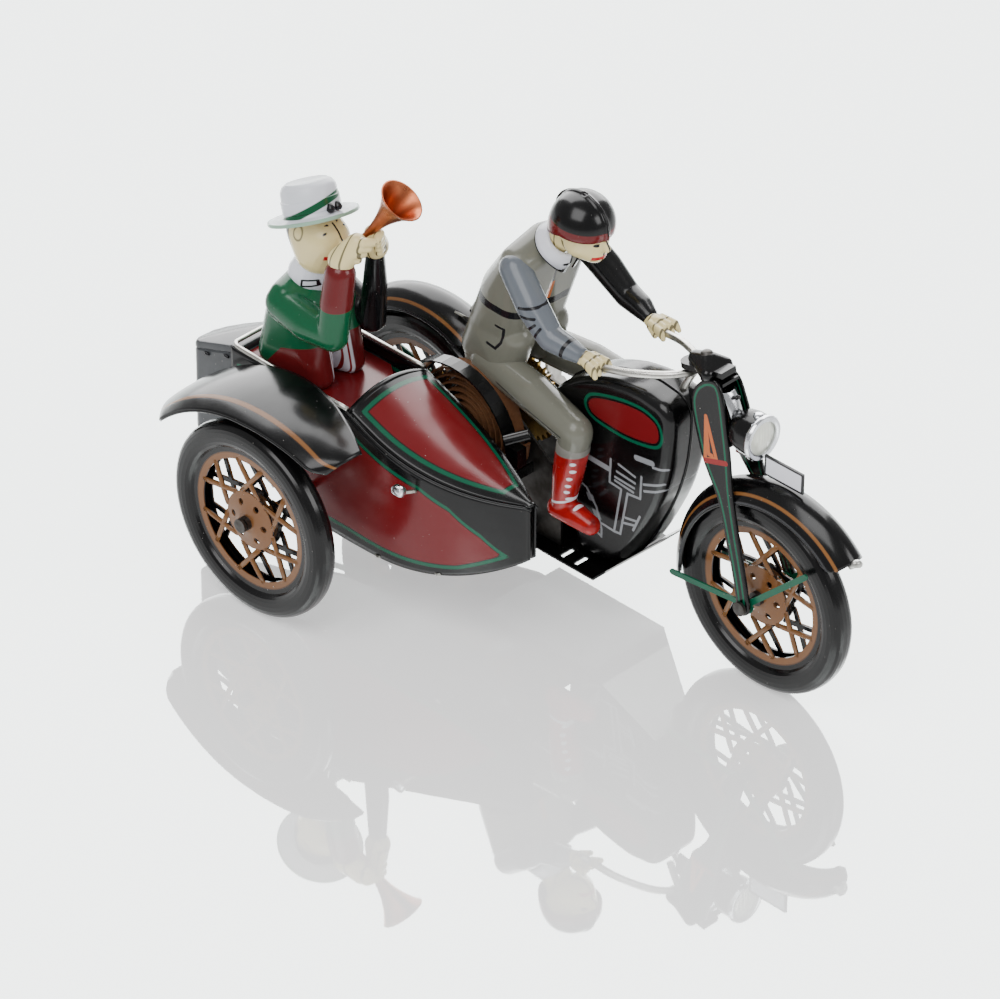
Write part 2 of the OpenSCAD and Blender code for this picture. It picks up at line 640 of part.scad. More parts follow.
module side_lamp() {
    color("silver") place() {
        bar([-2.76, -1.79, 1.66] * R, [-2.8, -1.92, 1.69] * R, 0.5);
        bar([-2.88, -1.94, 1.69] * R, [-2.76, -1.94, 1.7] * R, 1.5);
    }
}
strut_end = 0.86 * R;
strut_w = 4;
strut_t = 0.6;
module sidecar_struts() {
    color("black") place() for (x = [-2.75, -3.9]) translate([x * R, -strut_end, 0.62 * R])
        cube([strut_w, strut_end - plate_y - plate_t, strut_t]);
}
module sidecar_axle() {
    color("silver") axle_pin(car_c, car_wheel_c - bush_half - wheel_gap, -1.7 * R, true, false);
}

// ---------- passenger ----------

module passenger_form(g, side) {
    m = car_y - 0.03;
    // jacket, spreading towards the seat, and the shoulders
    limb([[-4.88, m + side * 0.2, 2.16, 0.16], [-4.2, m + side * 0.2, 2.16, 0.16],
        [-4.62, m + side * 0.24, 2.82, 0.17], [-4.66, m, 2.86, 0.2], [-4.84, m, 2.16, 0.16]], g);
    // neck, head and the brim's shadow line
    limb([[-4.56, m, 3.0, 0.15], [-4.52, m, 3.2, 0.16]], g);
    limb([[-4.46, m, 3.3, 0.26], [-4.54, m, 3.5, 0.27], [-4.4, m, 3.42, 0.25]], g);
}
module passenger_arm(side) {
    m = car_y - 0.03;
    if (side < 0) {
        limb([[-4.66, m - 0.3, 2.78, 0.14], [-3.9, m - 0.32, 2.74, 0.13]]);
        limb([[-3.9, m - 0.32, 2.74, 0.13], [-4.0, m - 0.18, 3.42, 0.09]]);
        limb([[-4.0, m - 0.16, 3.5, 0.09], [-3.9, m - 0.06, 3.66, 0.07]]);
    } else {
        limb([[-4.62, m + 0.32, 2.8, 0.14], [-4.14, m + 0.36, 2.52, 0.13]]);
        limb([[-4.14, m + 0.36, 2.52, 0.13], [-3.96, m + 0.22, 3.42, 0.09]]);
        limb([[-3.96, m + 0.22, 3.5, 0.09], [-3.9, m + 0.14, 3.66, 0.07]]);
    }
}
module passenger_half(side) {
    color("darkgreen") place() difference() {
        half_of(side, (car_y - 0.03) * R) union() {
            passenger_form(0, side);
            passenger_arm(side);
        }
        passenger_form(tin, side);
        translate([-6 * R, -2 * R, 0]) cube([3 * R, 2 * R, seat_z + 0.02]);
        horn_solid(0.02);
        hat_solid(0.02);
    }
}
module passenger_right_half() { passenger_half(-1); }
module passenger_left_half() { passenger_half(1); }

hat_at = [-4.52, -1.35, 3.63];
hat_tilt = [-7.5, -24.5, 0];
module hat_solid(g) {
    translate(hat_at * R) rotate(hat_tilt) {
        translate([0, 0, -g]) cylinder(r = 0.43 * R + g, h = 0.9 + 2 * g, $fn = 64);
        cylinder(r = 0.27 * R + g, h = 0.35 * R, $fn = 64);
    }
}
module hat() {
    color("white") place() difference() {
        hat_solid(0);
        translate(hat_at * R) rotate(hat_tilt) translate([0, 0, -1])
            cylinder(r = 0.27 * R - tin, h = 0.35 * R + 1 - tin, $fn = 64);
    }
}

// Horn: mouth tube and flared bell on one leaning axis.
horn_foot = [-4.06, -1.31, 3.47];
horn_tip = [-3.6, -1.12, 4.12];
horn_len = norm(horn_tip - horn_foot) * R;
function horn_radius(t) = 0.9 + 5.2 * pow(t, 3.2);
module horn_frame() {
    d = horn_tip - horn_foot;
    translate(horn_foot * R) rotate([0, acos(d[2] / norm(d)), atan2(d[1], d[0])]) children();
}
module horn_solid(g) {
    horn_frame() rotate_extrude($fn = 40) polygon(concat([[0, 0]],
        [for (t = steps(0, 1, 12)) [horn_radius(t) + g, t * horn_len]], [[0, horn_len]]));
}
module horn() {
    color("peru") place() horn_frame() rotate_extrude($fn = 40) polygon(concat(
        [for (t = steps(0, 1, 12)) [horn_radius(t), t * horn_len]],
        [for (t = steps(1, 0, 12)) [max(0.35, horn_radius(t) - tin), t * horn_len]]));
}

// ---------- wheels and gears as nodes ----------

module front_wheel_right_half() { color("tan") wheel_half([0, R], 0, -1); }
module front_wheel_left_half() { color("tan") wheel_half([0, R], 0, 1); }
module front_wheel_bush() { color("silver") wheel_bush([0, R], 0, axle_r + run); }
module rear_wheel_right_half() { color("tan") wheel_half(rear_c, 0, -1); }
module rear_wheel_left_half() { color("tan") wheel_half(rear_c, 0, 1); }
module rear_wheel_bush() { color("silver") place() difference() {
    cross_bar(rear_c, bush_r, -bush_half, 3.6);
    cross_bar(rear_c, axle_r, -20, 20);
} }
module rear_axle() { color("silver") axle_pin(rear_c, -plate_y - 1.8, plate_y + 1.8, true, true); }
module axle_pinion() {
    color("goldenrod") gear(rear_c, [inter_y[0] - 0.6, inter_y[1] + 0.4], axle_leaves,
        mesh_2 + 180 - 180 / axle_leaves, axle_r);
}
module sidecar_wheel_right_half() { color("tan") wheel_half(car_c, car_wheel_c, -1); }
module sidecar_wheel_left_half() { color("tan") wheel_half(car_c, car_wheel_c, 1); }
module sidecar_wheel_bush() { color("silver") wheel_bush(car_c, car_wheel_c, axle_r + run); }
module great_wheel() { color("goldenrod") gear(spring_c, great_y, great_n, mesh_1, axle_r + run); }
module intermediate_wheel() { color("goldenrod") gear(inter_c, inter_y, inter_n, mesh_2, axle_r); }
module intermediate_pinion() {
    color("silver") {
        gear(inter_c, [great_y[0] - 0.2, great_y[1] + 0.2], inter_leaves,
            mesh_1 + 180 - 180 / inter_leaves, axle_r);
        place() {
            cross_bar(inter_c, axle_r, great_y[0] - 0.2, plate_y + plate_t + 0.2);
            cross_bar(inter_c, head_r, plate_y + plate_t + 0.2, plate_y + plate_t + 0.2 + head_t);
        }
    }
}
module winding_arbor() {
    color("silver") place() {
        cross_bar(spring_c, axle_r, spring_y[0] - 1, 12.5);
        cross_bar(spring_c, 2.4, spring_y[0], spring_y[1]);
    }
}
module winding_key() {
    color("dimgray") place() {
        difference() {
            cross_bar(spring_c, 2, 11, 14.5);
            cross_bar(spring_c, axle_r, 10, 12.5);
        }
        translate([spring_c[0] - 0.5, 0, spring_c[1]]) rotate([90, 0, 90]) linear_extrude(1)
            difference() {
                union() {
                    for (s = [-1, 1]) translate([left_y - 3.6, s * 4.2]) circle(r = 3.6, $fn = 32);
                    translate([14.5, -2.4]) square([4, 4.8]);
                }
                for (s = [-1, 1]) translate([left_y - 3.6, s * 4.4]) circle(r = 1.6, $fn = 24);
            }
    }
}

body_right_half();
body_left_half();
head_tube();
footboard();
motor_plate_right();
motor_plate_left();
motor_pillars();
mainspring();
spring_guard();
spring_post();
rear_fender();
rear_stays();
fender_clips();
rider_right_half();
rider_left_half();
handlebar();
sidecar_side_right();
sidecar_side_left();
sidecar_floor();
sidecar_cowl();
cockpit_rim();
seat_plate();
trunk();
sidecar_fender();
side_lamp();
sidecar_struts();
sidecar_axle();
passenger_right_half();
passenger_left_half();
hat();
horn();
fork_blade_right();
fork_blade_left();
fork_yokes();
steering_stem();
head_cap();
front_axle();
front_fender();
front_stays();
headlight_shell();
headlight_rim();
headlight_lens();
headlight_bracket();
number_plate();
front_wheel_right_half();
front_wheel_left_half();
front_wheel_bush();
rear_wheel_right_half();
rear_wheel_left_half();
rear_wheel_bush();
rear_axle();
axle_pinion();
sidecar_wheel_right_half();
sidecar_wheel_left_half();
sidecar_wheel_bush();
great_wheel();
intermediate_wheel();
intermediate_pinion();
winding_arbor();
winding_key();
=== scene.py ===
import logging
import math
from dataclasses import dataclass
from enum import Enum
from typing import Callable, Sequence

import bmesh
import bpy
import numpy as np
from mathutils import Matrix, Vector


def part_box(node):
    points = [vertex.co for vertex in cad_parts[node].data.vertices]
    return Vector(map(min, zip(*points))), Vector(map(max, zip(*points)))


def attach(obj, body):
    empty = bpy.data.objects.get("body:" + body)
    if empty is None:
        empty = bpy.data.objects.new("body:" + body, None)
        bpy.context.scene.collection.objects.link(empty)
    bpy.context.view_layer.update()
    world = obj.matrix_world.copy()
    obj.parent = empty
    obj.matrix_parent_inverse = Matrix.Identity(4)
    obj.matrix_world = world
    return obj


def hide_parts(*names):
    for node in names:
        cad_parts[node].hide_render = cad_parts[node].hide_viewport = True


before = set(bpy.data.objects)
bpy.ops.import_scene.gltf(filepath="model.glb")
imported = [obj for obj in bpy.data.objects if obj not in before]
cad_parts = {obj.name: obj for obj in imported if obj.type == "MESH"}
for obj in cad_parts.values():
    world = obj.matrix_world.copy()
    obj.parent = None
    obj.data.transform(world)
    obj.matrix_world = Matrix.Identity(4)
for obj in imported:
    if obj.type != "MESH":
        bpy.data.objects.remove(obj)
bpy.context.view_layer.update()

LOG = logging.getLogger("toy")
Point = tuple[float, float, float]
Flat = tuple[float, float]
Colour = tuple[float, float, float]


class Side(Enum):
    """The two sides of the toy; the value is the sign of Y."""

    RIGHT = -1
    LEFT = 1


class Layout:
    """The toy's own measure: wheel radii from the ground point of the front wheel."""

    def __init__(self) -> None:
        """Reads the wheel radius and the origin from the frame."""
        low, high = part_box("front_wheel_right_half")
        bush_low, bush_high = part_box("front_wheel_bush")
        self.radius: float = (high.x - low.x) / 2
        self.origin = Vector(((low.x + high.x) / 2, (bush_low.y + bush_high.y) / 2, 0.0))

    def at(self, x: float, y: float, z: float) -> Vector:
        """Returns the row-frame place of a point given in wheel radii."""
        return self.origin + self.radius * Vector((x, y, z))

    def mm(self, length: float) -> float:
        """Returns a length in millimetres as wheel radii."""
        return length / 1000 / self.radius


LAYOUT = Layout()
TIN = LAYOUT.mm(0.5)


def tone(red: int, green: int, blue: int) -> Colour:
    """Turns a display colour of 0 to 255 into linear light."""
    return tuple(round(((c / 255 + 0.055) / 1.055) ** 2.4 if c > 10 else c / 3295, 4)
                 for c in (red, green, blue))


# ---------- shader maths ----------


class Term:
    """A shader socket that takes part in Python expressions."""

    def __init__(self, paint: "Paint", socket: bpy.types.NodeSocket) -> None:
        """Keeps the socket and the paint whose graph it is in."""
        self.paint = paint
        self.socket = socket

    def _math(self, operation: str, *others: "Term | float", clamp: bool = False) -> "Term":
        """Adds a Math node on this value and the others."""
        settings = {"operation": operation, "use_clamp": clamp}
        return self.paint.term("ShaderNodeMath", settings, {i: v for i, v in enumerate((self, *others))})

    def __add__(self, other: "Term | float") -> "Term":
        """Sum."""
        return self._math("ADD", other)

    __radd__ = __add__

    def __mul__(self, other: "Term | float") -> "Term":
        """Product."""
        return self._math("MULTIPLY", other)

    __rmul__ = __mul__

    def __sub__(self, other: "Term | float") -> "Term":
        """Difference."""
        return self._math("SUBTRACT", other)

    def __rsub__(self, other: float) -> "Term":
        """Difference from a number."""
        return self.paint.term("ShaderNodeMath", {"operation": "SUBTRACT"}, {0: other, 1: self})

    def __abs__(self) -> "Term":
        """Size without sign."""
        return self._math("ABSOLUTE")

    def most(self, other: "Term | float") -> "Term":
        """The larger of two values."""
        return self._math("MAXIMUM", other)

    def hypot(self, other: "Term") -> "Term":
        """Length of the two values taken as a right angle's sides."""
        return (self * self + other * other)._math("SQRT")

    def over(self, edge: float, soft: float = 0.006) -> "Term":
        """A mask: 1 where this value is over edge, blending across soft."""
        return self._math("MULTIPLY_ADD", 1 / soft, 0.5 - edge / soft, clamp=True)

    def under(self, edge: float, soft: float = 0.006) -> "Term":
        """A mask: 1 where this value is under edge."""
        return self._math("MULTIPLY_ADD", -1 / soft, 0.5 + edge / soft, clamp=True)

    def within(self, low: float, high: float, soft: float = 0.006) -> "Term":
        """A mask: 1 where this value is between low and high."""
        return self.over(low, soft) * self.under(high, soft)


class Paint:
    """A material and the graph that its printed colours are worked out in."""

    def __init__(self, name: str) -> None:
        """Starts an empty material whose x, y and z are in wheel radii.

        Args:
            name: Name of the material.
        """
        self.material = bpy.data.materials.new(name)
        self.material.use_nodes = True
        self.material.node_tree.nodes.clear()
        shift = [-LAYOUT.origin[i] / LAYOUT.radius for i in range(3)]
        coordinates = self.node("ShaderNodeTexCoord", {}, {}).outputs["Object"]
        scaled = self.term("ShaderNodeVectorMath", {"operation": "MULTIPLY_ADD"},
                           {0: coordinates, 1: (1 / LAYOUT.radius,) * 3, 2: shift})
        self.place = scaled
        split = self.node("ShaderNodeSeparateXYZ", {}, {0: scaled})
        self.x, self.y, self.z = (Term(self, split.outputs[i]) for i in range(3))

    def node(self, kind: str, settings: dict, inputs: dict) -> bpy.types.Node:
        """Adds a node.

        Args:
            kind: The node's type.
            settings: Its own settings, set first.
            inputs: Values or links by socket name or number.
        Returns:
            The node.
        """
        node = self.material.node_tree.nodes.new(kind)
        for key, value in settings.items():
            if key == "ramp":
                while len(node.color_ramp.elements) < len(value):
                    node.color_ramp.elements.new(1.0)
                for element, (position, colour) in zip(node.color_ramp.elements, value):
                    element.position, element.color = position, (*colour, 1.0)
            else:
                setattr(node, key, value)
        for key, value in inputs.items():
            socket = node.inputs[key]
            if isinstance(value, Term):
                value = value.socket
            if isinstance(value, bpy.types.NodeSocket):
                self.material.node_tree.links.new(value, socket)
            elif socket.type == "RGBA":
                socket.default_value = (*value, 1.0)
            else:
                socket.default_value = value
        return node

    def term(self, kind: str, settings: dict, inputs: dict, output: int | str = 0) -> Term:
        """Adds a node and returns one of its outputs."""
        return Term(self, self.node(kind, settings, inputs).outputs[output])

    def mix(self, ground: "Term | Colour", over: "Term | Colour", share: "Term | float") -> Term:
        """Lays one colour over another by a mask."""
        return self.term("ShaderNodeMix", {"data_type": "RGBA"}, {0: share, 6: ground, 7: over}, 2)

    def noise(self, scale: float, detail: float = 3.0, rough: float = 0.55, stretch: Point = (1, 1, 1)) -> Term:
        """Noise with about scale features to a wheel radius.

        Args:
            scale: Features to a wheel radius.
            detail: Octaves.
            rough: Weight of the fine octaves.
            stretch: Scale along each axis, for drawn grain.
        Returns:
            The noise, about 0.5.
        """
        place = self.place
        if stretch != (1, 1, 1):
            place = self.term("ShaderNodeVectorMath", {"operation": "MULTIPLY"}, {0: place, 1: stretch})
        return self.term("ShaderNodeTexNoise", {}, {"Vector": place, "Scale": scale, "Detail": detail,
                                                     "Roughness": rough})

    def mark(self, name: str) -> Term:
        """A number stored on the mesh's points."""
        return self.term("ShaderNodeAttribute", {"attribute_name": name}, {}, "Fac")

    def stroke(self, u: Term, v: Term, start: Flat, end: Flat, half: float) -> Term:
        """A mask of a straight printed stroke with round ends.

        Args:
            u: First coordinate of the sheet it is printed on.
            v: Second coordinate.
            start: One end, in wheel radii.
            end: The other end.
            half: Half of the stroke's width.
        Returns:
            The mask.
        """
        du, dv = end[0] - start[0], end[1] - start[1]
        square = max(du * du + dv * dv, 1e-9)
        first = u._math("MULTIPLY_ADD", du / square, -(start[0] * du + start[1] * dv) / square)
        share = v._math("MULTIPLY_ADD", dv / square, first, clamp=True)
        across = share._math("MULTIPLY_ADD", -du, u) - start[0]
        along = share._math("MULTIPLY_ADD", -dv, v) - start[1]
        return across.hypot(along).under(half)

    def strokes(self, u: Term, v: Term, lines: Sequence[Sequence[Flat]], half: float) -> Term:
        """A mask of several printed lines, each a run of points.

        Args:
            u: First coordinate of the sheet.
            v: Second coordinate.
            lines: The lines' points, in wheel radii.
            half: Half of their width.
        Returns:
            The mask.
        """
        masks = [self.stroke(u, v, a, b, half) for line in lines for a, b in zip(line, line[1:])]
        total = masks[0]
        for mask in masks[1:]:
            total = total.most(mask)
        return total

    def disc(self, u: Term, v: Term, centre: Flat, reach: float) -> Term:
        """A mask of a round dot."""
        return (u - centre[0]).hypot(v - centre[1]).under(reach)

    def close(self, colour: "Term | Colour", rough: "Term | float", metal: "Term | float" = 0.0,
              coat: float = 0.0, relief: "Term | None" = None, depth: float = 0.1) -> bpy.types.Material:
        """Ends the graph in the shader.

        Args:
            colour: Base colour.
            rough: Roughness.
            metal: Metallic share.
            coat: Clear coat over it.
            relief: Height for the bump, or nothing.
            depth: Height of the bump in tenths of a millimetre.
        Returns:
            The finished material.
        """
        inputs = {"Base Color": colour, "Roughness": rough, "Metallic": metal, "Coat Weight": coat,
                  "Coat Roughness": 0.06, "Specular IOR Level": 0.3}
        if relief is not None:
            bump = self.node("ShaderNodeBump", {}, {"Height": relief, "Strength": 1.0, "Distance": depth * 1e-4})
            inputs["Normal"] = bump.outputs[0]
        shader = self.node("ShaderNodeBsdfPrincipled", {}, inputs)
        self.node("ShaderNodeOutputMaterial", {}, {0: shader.outputs[0]})
        return self.material


# ---------- finishes ----------

BLACK = tone(7, 7, 8)
TAN = tone(124, 82, 44)
MAROON = tone(104, 18, 22)
GREEN_LINE = tone(4, 82, 58)
SILVER_INK = tone(128, 130, 134)
BARE_TIN = tone(196, 194, 188)
FLESH = tone(222, 205, 150)
WHITE_INK = tone(222, 223, 232)
Print = Callable[[Paint], "Term | Colour"]


@dataclass(frozen=True)
class Enamel:
    """Printed and varnished tinplate, with chips, dust and a slightly uneven sheet."""

    name: str
    draw: Print
    rough: float = 0.2
    coat: float = 0.06
    chips: float = 0.76
    relief: float = 0.55

    def make(self) -> bpy.types.Material:
        """Draws the finish.

        Returns:
            The material.
        """
        paint = Paint(self.name)
        colour = self.draw(paint)
        chips = paint.noise(44.0, 2.0, 0.5).over(self.chips, 0.02) * paint.noise(2.3, 2.0).over(0.5, 0.1)
        haze = paint.noise(5.0, 4.0)
        worn = paint.mix(colour, BARE_TIN, chips * 0.55)
        rough = haze * 0.16 + (self.rough - 0.07) + chips * 0.3
        sheet = paint.noise(3.2, 1.0) * 2.0 + paint.noise(60.0, 1.0) * 0.03
        return paint.close(worn, rough, chips * 0.6, self.coat, sheet, self.relief)


@dataclass(frozen=True)
class Metal:
    """Bare sheet or wire: drawn grain, tarnish in patches and fine scratches."""

    name: str
    bright: Colour
    dull: Colour
    rough: float = 0.25
    grain: Point = (1, 1, 1)
    tarnish: float = 0.5

    def make(self) -> bpy.types.Material:
        """Draws the finish.

        Returns:
            The material.
        """
        paint = Paint(self.name)
        patches = paint.noise(4.0, 5.0, 0.6).over(1 - self.tarnish, 0.35)
        lines = paint.noise(30.0, 3.0, 0.6, self.grain)
        colour = paint.mix(self.bright, self.dull, patches)
        rough = lines * 0.25 + patches * 0.18 + (self.rough - 0.12)
        return paint.close(colour, rough, 1.0, 0.0, lines, 0.08)


def plain(colour: Colour) -> Print:
    """A print of one ink, a little uneven in tone.

    Args:
        colour: The ink.
    Returns:
        The print.
    """
    def draw(paint: Paint) -> Term:
        """Mixes the ink with a darker pass of itself."""
        return paint.mix(colour, tuple(c * 0.8 for c in colour), paint.noise(7.0, 4.0).over(0.6, 0.4))
    return draw


# ---------- meshes ----------


def piece(name: str, points: Sequence[Point], faces: Sequence[Sequence[int]],
          smooth: bool = True) -> bpy.types.Object:
    """Makes a mesh object from points in wheel radii.

    Args:
        name: The piece's name.
        points: Its points.
        faces: Its faces, as point numbers.
        smooth: Whether its faces shade smoothly.
    Returns:
        The object, in the scene.
    """
    mesh = bpy.data.meshes.new(name)
    places = np.asarray(points, float) * LAYOUT.radius + np.array(LAYOUT.origin)
    mesh.from_pydata(places.tolist(), [], [list(face) for face in faces])
    mesh.validate()
    mesh.polygons.foreach_set("use_smooth", [smooth] * len(mesh.polygons))
    thing = bpy.data.objects.new(name, mesh)
    bpy.context.scene.collection.objects.link(thing)
    return thing


def outward(thing: bpy.types.Object) -> bpy.types.Object:
    """Turns the faces of a closed mesh outwards.

    Args:
        thing: The piece.
    Returns:
        The same piece.
    """
    form = bmesh.new()
    form.from_mesh(thing.data)
    bmesh.ops.recalc_face_normals(form, faces=form.faces)
    form.to_mesh(thing.data)
    form.free()
    return thing


def baked(thing: bpy.types.Object) -> bpy.types.Object:
    """Applies every modifier of a piece.

    Args:
        thing: The piece.
    Returns:
        The same piece, with the result as its mesh.
    """
    graph = bpy.context.evaluated_depsgraph_get()
    mesh = bpy.data.meshes.new_from_object(thing.evaluated_get(graph))
    thing.modifiers.clear()
    old = thing.data
    thing.data = mesh
    bpy.data.meshes.remove(old)
    return thing


def grid_faces(rows: int, columns: int, wrap: bool = False) -> list[tuple[int, ...]]:
    """Faces of a grid of points, whose rows may close into rings.

    Args:
        rows: Number of rows.
        columns: Points in a row.
        wrap: Whether each row closes into a ring.
    Returns:
        The faces, as point numbers.
    """
    last = columns if wrap else columns - 1
    return [(i * columns + j, i * columns + (j + 1) % columns, (i + 1) * columns + (j + 1) % columns,
             (i + 1) * columns + j) for i in range(rows - 1) for j in range(last)]


def sheet(name: str, rows: Sequence[Sequence[Point]], thick: float = TIN, marks: dict | None = None,
          rolled: float = 0.0) -> bpy.types.Object:
    """A sheet of tin through a grid of points.

    Args:
        name: The piece's name.
        rows: The grid, outer face.
        thick: Thickness, laid behind the outer face.
        marks: Lists of numbers to store on the points, by name.
        rolled: Radius that its edges are rounded to.
    Returns:
        The object.
    """
    points = [p for row in rows for p in row]
    thing = piece(name, points, grid_faces(len(rows), len(rows[0])))
    for key, values in (marks or {}).items():
        attribute = thing.data.attributes.new(key, "FLOAT", "POINT")
        attribute.data.foreach_set("value", np.asarray(values, np.float32).ravel())
    solid = thing.modifiers.new("tin", "SOLIDIFY")
    solid.thickness, solid.offset, solid.use_even_offset = thick * LAYOUT.radius, -1.0, True
    if rolled:
        bevel = thing.modifiers.new("edge", "BEVEL")
        bevel.width, bevel.segments, bevel.limit_method = rolled * LAYOUT.radius, 2, "ANGLE"
        bevel.angle_limit = math.radians(50)
    return baked(thing)


def tube(name: str, path: Sequence[Point], widths: Sequence[float] | float, sides: int = 20,
         turn: int = 3) -> bpy.types.Object:
    """A round bar or tube swept along a smooth curve through the path's points.

    Args:
        name: The piece's name.
        path: Points that the curve passes.
        widths: Radius at each point, or one for all.
        sides: Sides of a ring.
        turn: Steps between two points.
    Returns:
        The object, closed at both ends.
    """
    line = np.asarray(path, float)
    radii = np.full(len(line), widths) if np.isscalar(widths) else np.asarray(widths, float)
    full = np.column_stack([line, radii])
    ends = np.vstack([2 * full[0] - full[1], full, 2 * full[-1] - full[-2]])
    curve = []
    for i in range(1, len(ends) - 2):
        for t in np.linspace(0, 1, turn, endpoint=False):
            a, b, c, d = ends[i - 1: i + 3]
            curve.append(0.5 * (2 * b + (c - a) * t + (2 * a - 5 * b + 4 * c - d) * t ** 2
                                + (3 * b - a - 3 * c + d) * t ** 3))
    curve = np.array(curve + [full[-1]])
    rings, up = [], np.array([0.13, 0.2, 0.97])
    for i, row in enumerate(curve):
        ahead = curve[min(i + 1, len(curve) - 1)][:3] - curve[max(i - 1, 0)][:3]
        ahead /= np.linalg.norm(ahead)
        side = np.cross(ahead, up)
        side /= np.linalg.norm(side)
        up = np.cross(side, ahead)
        rings += [tuple(row[:3] + row[3] * (math.cos(a) * side + math.sin(a) * up))
                  for a in np.linspace(0, 2 * math.pi, sides, endpoint=False)]
    faces = grid_faces(len(curve), sides, wrap=True)
    faces += [tuple(range(sides)), tuple(range((len(curve) - 1) * sides, len(curve) * sides))]
    return outward(piece(name, rings, faces))


def lathe(name: str, profile: Sequence[Flat], foot: Point, axis: Point, steps: int = 64) -> bpy.types.Object:
    """A turned piece.

    Args:
        name: The piece's name.
        profile: Closed outline as (radius, distance along the axis).
        foot: Where the axis starts.
        axis: Its direction.
        steps: Facets around.
    Returns:
        The object.
    """
    ahead = Vector(axis).normalized()
    side = ahead.orthogonal().normalized()
    other = ahead.cross(side)
    rows = [[tuple(Vector(foot) + ahead * along + (side * math.cos(a) + other * math.sin(a)) * max(reach, 1e-4))
             for a in np.linspace(0, 2 * math.pi, steps, endpoint=False)] for reach, along in profile]
    rows.append(rows[0])
    thing = piece(name, [p for row in rows for p in row], grid_faces(len(rows), steps, wrap=True))
    form = bmesh.new()
    form.from_mesh(thing.data)
    bmesh.ops.remove_doubles(form, verts=form.verts, dist=LAYOUT.radius * 3e-4)
    bmesh.ops.recalc_face_normals(form, faces=form.faces)
    form.to_mesh(thing.data)
    form.free()
    thing.data.set_sharp_from_angle(angle=math.radians(42))
    return thing


def rounded(outline: Sequence[Flat], passes: int = 2) -> list[Flat]:
    """Cuts the corners of a closed outline so that it runs smoothly.

    Args:
        outline: The outline's points.
        passes: How often its corners are cut.
    Returns:
        The smoother outline.
    """
    line = [np.array(p, float) for p in outline]
    for _ in range(passes):
        line = [q for a, b in zip(line, line[1:] + line[:1]) for q in (a * 0.78 + b * 0.22, a * 0.22 + b * 0.78)]
    return [tuple(p) for p in line]


def inset(outline: Sequence[Flat], by: float) -> list[Flat]:
    """Moves a closed outline inwards.

    Args:
        outline: The outline's points.
        by: Distance, in wheel radii.
    Returns:
        The moved outline.
    """
    line = np.asarray(outline, float)
    area = sum(a[0] * b[1] - a[1] * b[0] for a, b in zip(line, np.roll(line, -1, 0)))
    ahead = np.roll(line, -1, 0) - np.roll(line, 1, 0)
    normal = np.column_stack([-ahead[:, 1], ahead[:, 0]]) * (1 if area > 0 else -1)
    return [tuple(p) for p in line + by * normal / np.linalg.norm(normal, axis=1)[:, None]]


def panel(name: str, outline: Sequence[Flat], start: float, end: float, edge: float,
          bulge: float = 0.0) -> bpy.types.Object:
    """A pressed form: a side-view outline drawn from Y = start to end with a rounded edge at end.

    Args:
        name: The piece's name.
        outline: Side view as (x, z).
        start: Y of its open or back edge.
        end: Y of its face.
        edge: Radius of the edge round the face.
        bulge: How far the middle of the face stands back from end at its edge.
    Returns:
        The object.
    """
    way = 1 if end > start else -1
    turns = [(edge * (1 - math.cos(a)), end - way * (bulge + edge * (1 - math.sin(a))))
             for a in np.linspace(0, math.pi / 2, 7)]
    rings = [(0.0, start)] + turns
    if bulge:
        rings += [(edge + 0.03 * k, end - way * bulge * (1 - k / 3) ** 2) for k in (1, 2, 3)]
    points, count = [], len(outline)
    for depth, y in rings:
        points += [(p[0], y, p[1]) for p in (inset(outline, depth) if depth else outline)]
    faces = grid_faces(len(rings), count, wrap=True)
    faces += [tuple(range(count)), tuple(range((len(rings) - 1) * count, len(rings) * count))]
    thing = outward(piece(name, points, faces))
    thing.data.set_sharp_from_angle(angle=math.radians(50))
    return thing


def figure(name: str, limbs: Sequence[Sequence[tuple[float, float, float, float]]], grain: float = 0.35,
           smooth: int = 10) -> bpy.types.Object:
    """A soft pressed form made of limbs, each a skin round a few balls.

    Args:
        name: The piece's name.
        limbs: Balls of each limb, as (x, y, z, radius).
        grain: Size of the mesh's faces, in millimetres.
        smooth: Passes of smoothing where limbs meet.
    Returns:
        The object.
    """
    form = bmesh.new()
    for balls in limbs:
        skin = bmesh.new()
        for x, y, z, reach in balls:
            ball = bmesh.ops.create_icosphere(skin, subdivisions=3, radius=reach * LAYOUT.radius)
            bmesh.ops.translate(skin, verts=ball["verts"], vec=LAYOUT.at(x, y, z))
        hull = bmesh.ops.convex_hull(skin, input=skin.verts)
        spare = [g for g in hull["geom_interior"] + hull["geom_unused"] if isinstance(g, bmesh.types.BMVert)]
        bmesh.ops.delete(skin, geom=list(set(spare)), context="VERTS")
        part = bpy.data.meshes.new("limb")
        skin.to_mesh(part)
        skin.free()
        form.from_mesh(part)
        bpy.data.meshes.remove(part)
    mesh = bpy.data.meshes.new(name)
    form.to_mesh(mesh)
    form.free()
    thing = bpy.data.objects.new(name, mesh)
    bpy.context.scene.collection.objects.link(thing)
    remesh = thing.modifiers.new("skin", "REMESH")
    remesh.mode, remesh.voxel_size = "VOXEL", grain / 1000
    soften = thing.modifiers.new("soft", "SMOOTH")
    soften.factor, soften.iterations = 0.5, smooth
    baked(thing)
    thing.data.polygons.foreach_set("use_smooth", [True] * len(thing.data.polygons))
    return thing


def mirrored(limbs: Sequence[Sequence[tuple]]) -> list[list[tuple]]:
    """The limbs and their mirror images across the toy's middle plane."""
    return [list(b) for b in limbs] + [[(x, -y, z, r) for x, y, z, r in b] for b in limbs]


